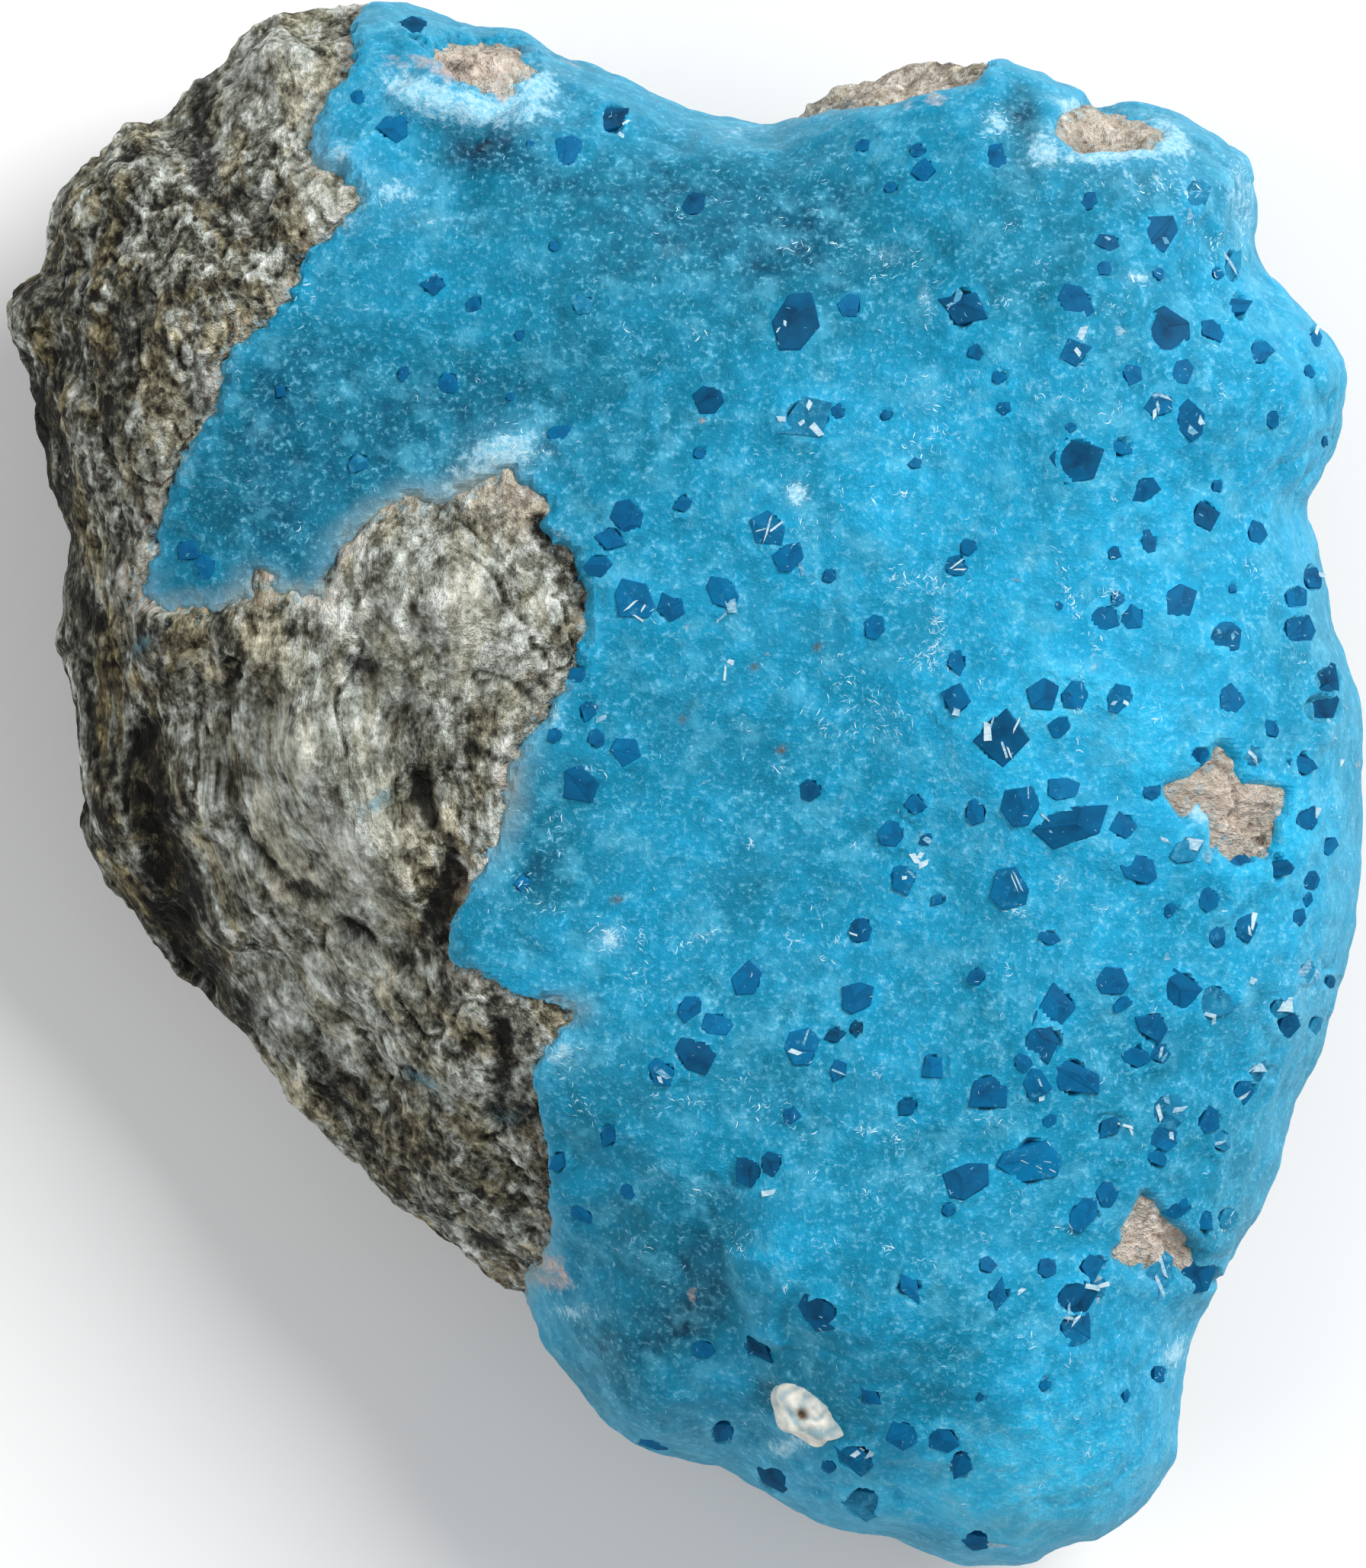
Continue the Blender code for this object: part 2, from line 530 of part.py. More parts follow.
def grown(item, clearance):
    """Moves a closed body's surface out evenly, for the room that touching pieces keep."""
    shape = bmesh.new()
    shape.from_mesh(item.data)
    bmesh.ops.recalc_face_normals(shape, faces=shape.faces)
    factors = [min(vert.calc_shell_factor(), MOST_SHELL) for vert in shape.verts]
    moves = [vert.normal * clearance * MM * factor for vert, factor in zip(shape.verts, factors)]
    for vert, move in zip(shape.verts, moves):
        vert.co += move
    shape.to_mesh(item.data)
    shape.free()
    return item


def crust_reach(clearance):
    """The column that the crust fills, from the contact line past the right edge, down to a waved skirt."""
    start = CONTACT[-1]
    end = CONTACT[0]
    first = math.atan2(start[1], start[0])
    last = math.atan2(end[1], end[0])
    ring = []
    for step in range(REACH_STEPS + 1):
        angle = first + (last - first) * step / REACH_STEPS
        ring.append((CUTTER_REACH * math.cos(angle), CUTTER_REACH * math.sin(angle)))

    def low(points):
        return rim_height(points) - CRUST_SKIRT + SKIRT_WAVE * roughness(points, *SKIRT_NOISE)

    reach = column("crust_reach", as_anticlockwise(ring + CONTACT), low, CUTTER_TOP)
    return hidden(grown(reach, clearance))


def scar_columns(clearance):
    """Upright cutters, one for each place where the rock shows through the crust."""
    columns = []

    def low(points):
        return np.full(len(points), SCAR_LOW)

    for scar in SCARS:
        item = column("scar", as_anticlockwise(scar), low, SCAR_TOP)
        columns.append(hidden(grown(item, clearance)))
    return columns


def as_anticlockwise(outline):
    x, y = np.asarray(outline, float).T
    area = (x * np.roll(y, -1) - np.roll(x, -1) * y).sum()
    return outline if area > 0 else outline[::-1]


def core(clearance):
    """The rock that the crust lies on."""
    corners = OUTLINE[::2]
    shares = np.where(bare_rock_near(corners), BARE_CORE_SHARE, CORE_SHARE)
    outline = [(x * share, y * share) for (x, y), share in zip(corners, shares)]
    return hidden(grown(lump("core", outline, core_face, CORE_FACET, CORE_ROWS, CORE_ROWS, 31), clearance))


def bare_rock_near(points):
    """Where the rock needs small facets: outside the crust, and within a few millimetres of its edge."""
    near_scar = np.zeros(len(points), bool)
    for scar in SCARS:
        near_scar |= inside(points, scar) | (edge_distance(points, scar) < 2.0)
    bare = inside(points, CONTACT + PAST_BARE_ROCK)
    return bare | (edge_distance(points, CONTACT, closed=False) < 2.5) | near_scar


def crust_near(points):
    """Where the crust needs small facets: on it, and just past its edge."""
    bare = inside(points, CONTACT + PAST_BARE_ROCK)
    return ~bare | (edge_distance(points, CONTACT, closed=False) < 3.0)


def rock_outline():
    """The rock's own outline, a little inside the crust's where the crust covers it."""
    bare = bare_rock_near(OUTLINE)
    tucked = moved_out(OUTLINE, -0.7)
    return [here if shows else under for here, under, shows in zip(OUTLINE, tucked, bare)]


def make_matrix():
    outline = rock_outline()
    whole = lump("matrix", outline, rock_face, ROCK_FACET, RIM_ROWS, BACK_ROWS, 11, bare_rock_near)
    rock = weathered(whole)
    reach = crust_reach(GAP)
    for scar in scar_columns(0.0):
        combine(reach, "DIFFERENCE", scar)
    combine(rock, "DIFFERENCE", reach)
    combine(rock, "UNION", core(0.0))
    rock.data.materials.append(principled("host rock", (0.24, 0.215, 0.18), 0.85))
    return rock


def surface_normal(x, y):
    reach = 0.6
    spots = [(x - reach, y), (x + reach, y), (x, y - reach), (x, y + reach)]
    west, east, south, north = crust_face(spots)
    return Vector((west - east, south - north, 2 * reach)).normalized()


def crystal(index, x, y, width, height):
    """One blocky crystal: a box whose corners are cut off flat, sunk in the crust and leaning with it."""
    draw = random.Random(700 + index)
    shape = bmesh.new()
    bmesh.ops.create_cube(shape, size=1.0)
    for _ in range(CRYSTAL_CUTS):
        way = Vector([draw.choice((-1, 1)) * draw.uniform(0.5, 1.0) for _ in range(3)])
        way.normalize()
        far = draw.uniform(NEAREST_CUT, FARTHEST_CUT)
        everything = shape.verts[:] + shape.edges[:] + shape.faces[:]
        cut = bmesh.ops.bisect_plane(
            shape, geom=everything, plane_co=way * far, plane_no=way, clear_outer=True
        )
        edges = [part for part in cut["geom_cut"] if isinstance(part, bmesh.types.BMEdge)]
        bmesh.ops.contextual_create(shape, geom=edges)
    depth = 0.5 * (width + height)
    lean = surface_normal(x, y)
    turn = lean.to_track_quat("Z", "Y").to_matrix().to_4x4()
    angle = draw.uniform(-MOST_LEAN, MOST_LEAN)
    turn = turn @ Matrix.Rotation(angle, 4, (draw.uniform(-1, 1), draw.uniform(-1, 1), 0.2))
    turn = turn @ Matrix.Rotation(draw.uniform(-MOST_TURN, MOST_TURN), 4, "Z")
    top = crust_face([(x, y)])[0] * MM
    place = Vector((x * MM, y * MM, top)) - lean * depth * (0.5 - CRYSTAL_RISE) * MM
    size = Matrix.Diagonal((width * MM * CRYSTAL_FIT, height * MM * CRYSTAL_FIT, depth * MM, 1))
    shape.transform(Matrix.Translation(place) @ turn @ size)
    return hidden(finished("crystal", shape))


def fuse_crystals(crust):
    """Joins every crystal with the crust in one union."""
    group = bpy.data.collections.new("dark crystals")
    bpy.context.scene.collection.children.link(group)
    for index, place in enumerate(CRYSTALS):
        item = crystal(index, *place)
        bpy.context.collection.objects.unlink(item)
        group.objects.link(item)
    step = crust.modifiers.new("dark crystals", "BOOLEAN")
    step.operation = "UNION"
    step.solver = "EXACT"
    step.operand_type = "COLLECTION"
    step.collection = group


def make_crust():
    crust = lump("hemimorphite_crust", OUTLINE, crust_face, CRUST_FACET, RIM_ROWS, BACK_ROWS, 21, crust_near)
    combine(crust, "INTERSECT", crust_reach(0.0))
    for scar in scar_columns(GAP):
        combine(crust, "DIFFERENCE", scar)
    combine(crust, "DIFFERENCE", core(GAP))
    fuse_crystals(crust)
    crust.data.materials.append(principled("blue hemimorphite", (0.03, 0.32, 0.55), 0.4, coat=0.3))
    return crust


clear_scene()
make_matrix()
make_crust()
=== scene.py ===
"""A blue hemimorphite specimen: host rock, a waxy sky-blue crust, dark-blue crystals and frost flecks.

Lists of places are in millimetres, as (x, y) on the face seen from above. Meshes are in metres.
"""

import json
import math
import random

import bpy
import numpy as np
from mathutils import Matrix, Vector, noise
from mathutils.bvhtree import BVHTree

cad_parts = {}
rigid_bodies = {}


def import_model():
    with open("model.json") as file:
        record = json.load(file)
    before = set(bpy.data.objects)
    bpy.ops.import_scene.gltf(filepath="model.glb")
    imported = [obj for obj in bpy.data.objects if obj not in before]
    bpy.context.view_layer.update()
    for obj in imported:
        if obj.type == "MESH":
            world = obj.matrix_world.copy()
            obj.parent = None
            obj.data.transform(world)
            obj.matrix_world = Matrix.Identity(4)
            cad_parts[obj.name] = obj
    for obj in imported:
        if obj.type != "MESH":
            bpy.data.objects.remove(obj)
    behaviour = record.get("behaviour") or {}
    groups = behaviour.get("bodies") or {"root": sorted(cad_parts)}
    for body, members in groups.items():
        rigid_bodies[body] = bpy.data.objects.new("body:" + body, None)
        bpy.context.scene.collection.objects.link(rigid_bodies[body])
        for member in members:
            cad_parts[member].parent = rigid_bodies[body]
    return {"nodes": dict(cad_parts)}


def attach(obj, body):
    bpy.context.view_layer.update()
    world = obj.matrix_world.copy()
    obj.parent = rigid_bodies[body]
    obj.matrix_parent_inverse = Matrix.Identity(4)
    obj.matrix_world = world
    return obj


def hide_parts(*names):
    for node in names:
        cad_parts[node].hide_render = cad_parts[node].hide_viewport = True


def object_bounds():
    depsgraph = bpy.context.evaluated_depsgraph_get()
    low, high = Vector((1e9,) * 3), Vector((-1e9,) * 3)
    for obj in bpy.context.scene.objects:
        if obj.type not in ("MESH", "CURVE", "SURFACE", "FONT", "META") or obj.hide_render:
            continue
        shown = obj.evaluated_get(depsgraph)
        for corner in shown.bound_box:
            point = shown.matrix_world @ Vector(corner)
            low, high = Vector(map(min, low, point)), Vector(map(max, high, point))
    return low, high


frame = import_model()
cad_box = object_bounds()

MM = 0.001

# Grid size of each remeshed surface, in millimetres; what shows on the face has half of it.
ROCK_GRID = 0.5
CRUST_GRID = 0.56

# How far the two solids are swelled to close the gap between them.
CLOSING = 0.22

# How the crust and the rock meet, in millimetres.
CRUST_THICKNESS = 4.3
CUTTER_SWELL = 1.5
EDGE_SWELL = 0.3
EDGE_ROLL = 1.5
EDGE_SINK = 1.2
ROCK_DIVE = 3.8

# The lowest height of what belongs to the face, and of what belongs to its top.
FACE_HEIGHT = 14
TOP_HEIGHT = 16

# How deep and how wide a crystal's bed in the crust is, as shares of its width and height.
SOCKET_DEPTH = 0.17
SOCKET_REACH = 0.68

# How far below the top of the specimen's box its summits begin to be rounded off.
HEADROOM = 0.5

# The height in a crystal's own depth at which its broad top lies.
CROWN = 0.26

# A crystal's depth, footprint and rise out of the crust, as shares of its width and height.
CRYSTAL_DEPTH = 0.45
CRYSTAL_SPREAD = 1.17
CRYSTAL_RISE = 0.035

# How many flat facets break a crystal's top.
TOP_CUTS = 3

# Frost strokes, which also paint glints off tiny crystal faces: so many for each one counted in a crowd, and
# those scattered over the whole crust.
CROWDING = 1.4
SCATTERED_FLECKS = 5600

# The photograph's scale and rows, and the height of the widest outline, in millimetres.
PIXEL = 0.045
PHOTO_ROWS = 2057
RIM_HEIGHT = 15.0


def picked(item):
    """Selects one object alone and makes it active."""
    for other in bpy.context.selected_objects:
        other.select_set(False)
    item.select_set(True)
    bpy.context.view_layer.objects.active = item
    return item


def shaped(item, kind, **settings):
    """Adds a modifier and applies it."""
    picked(item)
    step = item.modifiers.new(kind.lower(), kind)
    for name, value in settings.items():
        setattr(step, name, value)
    bpy.ops.object.modifier_apply(modifier=step.name)
    return item


def edited(item, *steps):
    """Runs edit-mode operators, each as (operator, settings), on what is selected."""
    picked(item)
    bpy.ops.object.mode_set(mode="EDIT")
    for operator, settings in steps:
        operator(**settings)
    bpy.ops.object.mode_set(mode="OBJECT")
    return item


def loose_copy(name, item):
    """A copy with its own mesh and nothing of what marks the original."""
    copy = item.copy()
    copy.data = item.data.copy()
    copy.name = name
    copy.parent = None
    for key in list(copy.keys()):
        del copy[key]
    copy.hide_render = False
    bpy.context.collection.objects.link(copy)
    return copy


def places(item):
    """Vertex places in millimetres."""
    spots = np.empty(len(item.data.vertices) * 3, np.float32)
    item.data.vertices.foreach_get("co", spots)
    return spots.reshape(-1, 3).astype(float) / MM


def normals(item):
    ways = np.empty(len(item.data.vertices) * 3, np.float32)
    item.data.vertex_normals.foreach_get("vector", ways)
    return ways.reshape(-1, 3).astype(float)


def place_all(item, spots):
    item.data.vertices.foreach_set("co", (spots * MM).astype(np.float32).ravel())
    item.data.update()


def inside_box(item):
    """Keeps every vertex in the specimen's box, and rounds off what would stand above its top."""
    low, high = np.array(cad_box[0]) / MM, np.array(cad_box[1]) / MM
    spots = places(item)
    over = np.clip(spots[:, 2] - (high[2] - HEADROOM), 0, None)
    spots[:, 2] -= over - HEADROOM * (1 - np.exp(-over / HEADROOM))
    place_all(item, np.clip(spots, low + 0.01, high - 0.01))


def move_out(item, rise):
    """Moves each vertex along its normal by so many millimetres."""
    place_all(item, places(item) + normals(item) * np.asarray(rise)[:, None])


def keep_values(item, name, values):
    """Stores one number a vertex, for the materials."""
    layer = item.data.attributes.new(name, "FLOAT", "POINT")
    layer.data.foreach_set("value", np.asarray(values, np.float32))


def keep_vectors(item, name, values):
    layer = item.data.attributes.new(name, "FLOAT_VECTOR", "POINT")
    layer.data.foreach_set("vector", np.asarray(values, np.float32).ravel())


def smooth_step(value, low, high):
    """From 0 at low to 1 at high, eased at both ends. low may be the greater."""
    share = np.clip((np.asarray(value, float) - low) / (high - low), 0, 1)
    return share * share * (3 - 2 * share)


def grain(spots, size, seed, octaves=1):
    """Even noise in about -1 to 1, whose lumps are size apart, in one number or three."""
    scaled = np.asarray(spots, float) / size + seed * 7.31
    if octaves == 1:
        return np.array([noise.noise(Vector(spot)) for spot in scaled])
    return np.array([noise.fractal(Vector(spot), 0.8, 2.0, octaves) for spot in scaled])


def ridges(spots, size, seed):
    """Sharp crests along the lines where the noise is nought."""
    return 1 - 2 * np.abs(grain(spots, size, seed))


def beads(spots, size, seed):
    """Rounded beads packed side by side, from 0 between them to 1 on top."""
    scaled = np.asarray(spots, float) / size + seed * 3.7
    nearest = np.array([noise.voronoi(Vector(spot))[0][0] for spot in scaled])
    return np.sqrt(np.clip(1 - (nearest / 0.75) ** 2, 0, 1))


def line_distance(spots, line, closed=False):
    """How far each spot is from a line of straight stretches seen from above. The left side is positive."""
    spots = np.asarray(spots, float)[:, :2]
    line = np.asarray([*line, line[0]] if closed else line, float)
    least = np.full(len(spots), 1e9)
    side = np.ones(len(spots))
    for start, end in zip(line[:-1], line[1:]):
        along = end - start
        share = np.clip(((spots - start) @ along) / (along @ along), 0, 1)
        gap = spots - (start + share[:, None] * along)
        far = np.linalg.norm(gap, axis=1)
        nearer = far < least
        least[nearer] = far[nearer]
        side[nearer] = np.sign(along[0] * gap[nearer, 1] - along[1] * gap[nearer, 0] + 1e-9)
    return least, side


def outside(spots, outline):
    """How far each spot is outside a closed outline seen from above, and below nought inside it."""
    far, _ = line_distance(spots, outline, closed=True)
    x, y = spots[:, 0], spots[:, 1]
    inside = np.zeros(len(spots), bool)
    for (ax, ay), (bx, by) in zip(outline, [*outline[1:], outline[0]]):
        crosses = (ay > y) != (by > y)
        inside ^= crosses & (x < ax + (y - ay) * (bx - ax) / (by - ay + 1e-12))
    return np.where(inside, -far, far)


def ledge(spots, line, height, reach):
    """A step up on the line's left, which sinks back to nothing over its reach."""
    far, side = line_distance(spots, line)
    signed = far * side + 0.3 * grain(spots, 1.4, 24)
    ends = [np.linalg.norm(spots[:, :2] - end, axis=1) for end in (line[0], line[-1])]
    taper = smooth_step(np.minimum(*ends) - far, 0, 0.8)
    sinking = np.exp(-((np.clip(signed, 0, None) / reach) ** 2)) * (far < 3 * reach)
    return height * smooth_step(signed, -0.9, 0.7) * taper * sinking


def soft_spots(spots, ellipses):
    """Soft-edged ellipses seen from above, each (x, y, half width, half height, turn, strength), summed."""
    total = np.zeros(len(spots))
    for middle_x, middle_y, half_width, half_height, turn, strength in ellipses:
        angle = math.radians(turn)
        x, y = spots[:, 0] - middle_x, spots[:, 1] - middle_y
        across = (x * math.cos(angle) + y * math.sin(angle)) / half_width
        along = (y * math.cos(angle) - x * math.sin(angle)) / half_height
        total += strength * np.exp(-(across**2) - along**2)
    return total


def mesh_edges(item):
    ends = np.empty(len(item.data.edges) * 2, np.int32)
    item.data.edges.foreach_get("vertices", ends)
    return ends.reshape(-1, 2)


def relaxed(spots, ends, rounds):
    """Each place averaged with its neighbours', so many times."""
    count = np.bincount(ends.ravel(), minlength=len(spots))[:, None] + 1.0
    for _ in range(rounds):
        total = spots.copy()
        for axis in range(spots.shape[1]):
            total[:, axis] += np.bincount(ends[:, 0], spots[ends[:, 1], axis], len(spots))
            total[:, axis] += np.bincount(ends[:, 1], spots[ends[:, 0], axis], len(spots))
        spots = total / count
    return spots


def hollowness(item, rounds, depth):
    """From -1 on a crest to 1 in a hollow that is depth millimetres deep."""
    spots = places(item)
    sunk = ((relaxed(spots, mesh_edges(item), rounds) - spots) * normals(item)).sum(axis=1)
    return np.clip(sunk / depth, -1, 1)


# Dark-blue crystals: x, y, width, height and, for the long ones, a turn in degrees.
DARK_CRYSTALS = [
    (-15.8, 44.6, 1.6, 1.6), (-4, 39.2, 1.7, 2.6), (.7, 34, 1.2, 1.6), (6.7, 27.2, 2.7, 3.4, -30),
    (1.5, 22.5, 1.8, 1.8), (23.1, 19, 2.8, 3), (30.6, 15.8, 1.8, 2), (28, 32.4, 1.9, 2.2),
    (24.9, 31.8, 1.4, 1), (28.4, 26.6, 2.6, 3), (38, 6.2, 2.2, 2), (37.6, 4.5, 3.0, 2.5),
    (18.6, 2.7, 3.2, 3.4), (22.6, -2.4, 4.3, 2.3, -6), (7.5, -.3, 1.2, 1.2), (10.4, -8.5, 1.5, 1.4),
    (31, -3, .9, 2.8, 42), (34.8, -4.9, .9, 2.4, 32), (32.7, -4.3, 2, .9, -8), (8.9, -14.6, 1.3, .9),
    (10.2, -14.2, 1, .8), (13.1, -18.8, 1.3, 1.1), (21.1, -14.9, 3, 1.9), (29.2, -12, 2.4, 2.7),
    (16.6, -23.1, 2.8, 2.1), (30.8, -28.9, 2.4, 2), (23, -30, 2.8, 2.2), (38.1, -11.6, 1, .9),
    (35.6, -14, 1.7, 1.8), (.8, -15.8, 2.6, 2), (3.9, -22.6, 1.8, 1.6), (5.2, -22.1, 1.4, 1.2),
    (4.4, -33, 2, 1.2), (8, -30.8, 2.7, 1.9), (5.3, -41, 2, 2.2), (-6, 0, 2, 2), (16.4, 27.9, 2, 3.2, 52),
]
GLINTING_CRYSTALS = [
    (16, 12.8, 1.2, 1.4), (5, 15, 1.8, 2.2), (-2.8, 10.8, 2.3, 2.5), (2.4, 11.2, 1.6, 2),
    (22.9, 25.2, 1.8, 1.6), (27.9, 22.2, 1.3, 1.7), (31.8, 8.8, 2.2, 1.8), (25.5, 5.1, 1.9, 1.4),
    (12.9, -5.4, 1.9, 1.4), (19.2, -6.1, 2.4, 2.2), (33, -8.4, 1.5, 1.6), (7, -15.3, 2, 2.4),
    (20.7, -17.5, 1.5, 2), (27.9, -15.7, 1, 1.4), (25, -20, 1.6, 1.2), (20.4, -22, 2.3, 3.9, 40),
    (23, -31.7, 2.4, 1.8), (18.5, -29.8, 1.9, 1), (-1.2, -16.8, 1.8, 1.3), (10.1, -39.4, 2.6, 1.7),
    (-5.5, 4.3, 1, 1.3),
]
PALE_CRYSTALS = [
    (-19, 18.8, 1.4, 1), (-5.8, 28.1, 1.2, 1.2), (7.3, 21.6, 3.4, 2.4), (30.2, 34.7, 1.6, 2.1),
    (32.3, 30.5, 1, 2.5, 20), (33.3, 1.7, 1.2, 1.2), (29.5, -3.8, 1.4, 1.9), (31.1, -12.7, 1.9, 2.5),
    (33.8, -16.8, 1.4, .9), (28.4, -19, 2.2, 2.2), (31.6, -20.9, 1, 1.6), (32, -25.4, 1.5, 1.4),
    (28, -28.5, 2.6, 1.8), (24.2, -29.4, 1.2, 1.2), (10.6, -42.2, 2.6, 2.4), (36.7, -10.9, 1.4, 1.2),
    (35, -13.1, 1.5, 1.3), (37.3, -14.1, 1.2, 1.3),
]
PLAIN_CRYSTALS = [
    (-19, 40.3, .8, .8), (-16.9, 38.5, 2, 1.5), (-14.5, 29.3, 1.4, 1.1), (-12.2, 28.1, .9, .9),
    (-13.7, 23.5, 1.3, 1.2), (-16.3, 24.1, .9, .6), (-23.5, 23, .8, .8), (-29, 13.7, 1.4, 1.5),
    (-27.9, 12.8, 1.2, 1.3), (-7.2, 20.6, 1.5, .9), (-7.5, 31.5, .6, .6), (-9.5, 26.3, .5, .5),
    (-10, 22.7, .5, .5), (-6.7, 37.2, 1.6, 2.2), (-8.9, 37.6, .5, .5), (9.8, 28, 1.5, 1.3),
    (17.1, 25.3, .9, .9), (18.5, 23.8, .8, .8), (18.8, 22, .8, .8), (9.1, 21.8, .9, .9),
    (11.9, 21.6, .6, .6), (0, 16.4, .9, 1.3), (1, 19.4, .7, .7), (13.6, 18.8, .7, .7),
    (22.7, 20.9, .6, .6), (25.6, 19.7, .7, 1.5), (27.1, 17.3, 1.4, 1.7), (33.7, 14.8, 1.5, 1.5),
    (31.3, 17.5, .8, .8), (27.3, 14.2, 1.4, .8), (25.2, 13.5, .8, .8), (16.7, 13.9, 1, 1),
    (8.6, 12.2, .8, .8), (6.2, 13.3, 1.9, 1.6), (-3.2, 15.6, 2, 1.8), (-4.2, 14.4, 1.8, 1.4),
    (-4.9, 12.8, 1.3, 1.5), (-.7, 10.4, 1.7, 1.2), (11.2, 9.2, 1.3, 1.3), (23.8, 34.2, .8, 1.4),
    (24.7, 30.2, .9, .9), (27.9, 29.9, .7, .7), (31.4, 30, .9, .9), (32.7, 28.1, 1, 2.2, -14),
    (23, 28.3, 2.4, 1.7), (31, 26.6, 1.6, 1.3), (33.9, 25.4, 1.3, 1.9), (29.3, 24.2, 1.5, 1.2),
    (26.3, 24, 1.2, 1), (37.3, 26.5, .8, 1.9, 14), (36.8, 24.3, .8, .8), (29.7, 21.4, 1.8, 2.2),
    (34.6, 21.4, .9, 1.1), (37.8, 20.2, .5, .9), (18.4, 36.8, 1.1, 1.7), (14.1, 36, 1.5, 1.5),
    (13.8, 37.2, .8, 1), (10.6, 37.5, .8, .8), (12.2, 35, .7, .7), (29, 10.8, 1.8, 2.2),
    (24.7, 9.8, 2, 1.6), (26.3, 9.8, 1.6, 1.2), (25.4, 10.9, 1, .8), (22, 10.5, .5, .5),
    (36.2, 9.2, 2.4, 2), (36, 11, 1.8, 1.6), (37, 12.2, 1.3, 2), (32.2, 11.5, .6, .6),
    (32.1, 5, 1.8, 1.6), (34.5, 3.3, .9, 1.1), (22.9, 5.2, 1.8, 1.6), (21, 5.3, 1.8, 1.9),
    (22, 3.4, 1.3, 1.2), (16, 5, 1.7, 2), (16, 7.2, 1, 1.4), (19.7, -1.2, 2.5, 2.4),
    (22.2, -.2, 1.9, 1.4), (25.8, -2.4, 1.5, 1.6), (27.4, -.4, 1, 1), (13.6, -1.1, 1.3, 1.3),
    (17.1, -1.6, 1.6, 1.1), (12.2, -2.9, 1.5, 1.4), (14.2, -3.2, .6, .8), (14.9, -6.7, .9, .7),
    (21.4, -8.9, .7, 1.3, 35), (26.8, -5, 1.5, 2.2), (32.5, -4.4, 1.6, .9), (36.6, -2, 2.1, 1.6),
    (36.9, -5.6, 1.3, 1.2), (36.7, -6.7, .8, .8), (36.2, -7.7, 1, 1), (31.3, -8.9, 1.1, 1.3),
    (30.8, -6.7, 1.4, 1.2), (28.5, -7.3, .9, .7), (36.4, 1.2, 1, 1.9), (30.2, 1.8, 1.4, 1.2),
    (10.2, -12.4, 1.9, 1.9), (9.1, -16.7, .9, 1.3), (14.6, -16.4, 1.4, 1.5), (17.2, -11.2, 1, 1),
    (22, -12.9, 2.3, 2.1), (19.9, -16.2, 1.2, 1), (22.9, -17.1, 1.7, 3, 8), (17.8, -18, 2.2, 2.8, 0),
    (25.2, -11.5, 1.6, 2), (25.7, -12.8, 1.2, .8), (27.5, -14.1, 1.6, 2), (26.6, -15.9, 1.1, 1.6),
    (33, -17.9, 1.8, 1.4), (28.2, -20.5, 1.8, 1.6), (27.8, -21.8, .9, 1.4), (30.9, -19.6, 1.8, 1.3),
    (21.5, -19.6, .9, .7), (23.5, -25.1, 2.3, 1.4), (24.8, -24, 1.4, 1.3), (29, -24.8, 1.6, .9),
    (30.6, -25.6, 1, 1.8), (24, -28.1, 2, 1.5), (21.3, -28.2, 1.2, 1.2), (15.5, -24.8, .7, .7),
    (6.4, -19.3, 1, .9), (.4, -13, 1.6, 1.2), (2, -14, 1.8, 1.3), (3.8, -11.4, 2, 1.6),
    (-4.3, -20.5, 1, 1.8), (-7.1, -22, .9, 1.8), (-5.9, -25.2, 1.6, .9), (-3.2, -23.8, .9, 1),
    (1.2, -33.1, 1.4, 1.2), (13.2, -29.3, 1.9, 1), (17.8, -28, 1, .9), (11, -35.8, 1.5, 1),
    (12.9, -38, 1.9, 1.7), (15.3, -38.3, 2.0, 1.6), (16.3, -39.8, 1.4, 2.2), (2.4, -38.1, 1.5, 2),
    (8.6, -40, 1, .9), (-2, -39, 1.8, 1), (17.3, -44.4, 1.6, 1.6), (28, -34.6, 1.3, 1.1),
    (21.2, -35.1, .6, .8), (17.4, -35.8, .4, .4), (26, -35.8, .8, .5), (-6.1, 6.5, .9, 1.2),
    (-5, 2.7, 1, 1), (-3.3, 2, 1.6, 1.5), (-7.5, 2.9, .8, .8), (-9.3, -5.7, .9, 1.2), (38, -3.6, .9, 1.4),
]
ALL_CRYSTALS = DARK_CRYSTALS + GLINTING_CRYSTALS + PALE_CRYSTALS + PLAIN_CRYSTALS


def merged_node(node):
    """A welded copy of one of the solids."""
    copy = loose_copy("copy of " + node, frame["nodes"][node])
    return edited(
        copy,
        (bpy.ops.mesh.select_all, {"action": "SELECT"}),
        (bpy.ops.mesh.remove_doubles, {"threshold": 1e-6}),
    )


def crystal_cover(spots, reach, depth=None):
    """From 1, or from depth times its width and height, on a crystal's place to 0 beside it.

    reach is the edge, as a share of the crystal's size.
    """
    cover = np.zeros(len(spots))
    for x, y, width, height, *_ in ALL_CRYSTALS:
        near = (np.abs(spots[:, 0] - x) < width * reach) & (np.abs(spots[:, 1] - y) < height * reach)
        across = (spots[near, 0] - x) / (width * reach / 2)
        along = (spots[near, 1] - y) / (height * reach / 2)
        full = 1 if depth is None else depth * (width + height)
        cover[near] = np.maximum(cover[near], full * (1 - smooth_step(across**2 + along**2, 0.6, 1.3)))
    return cover


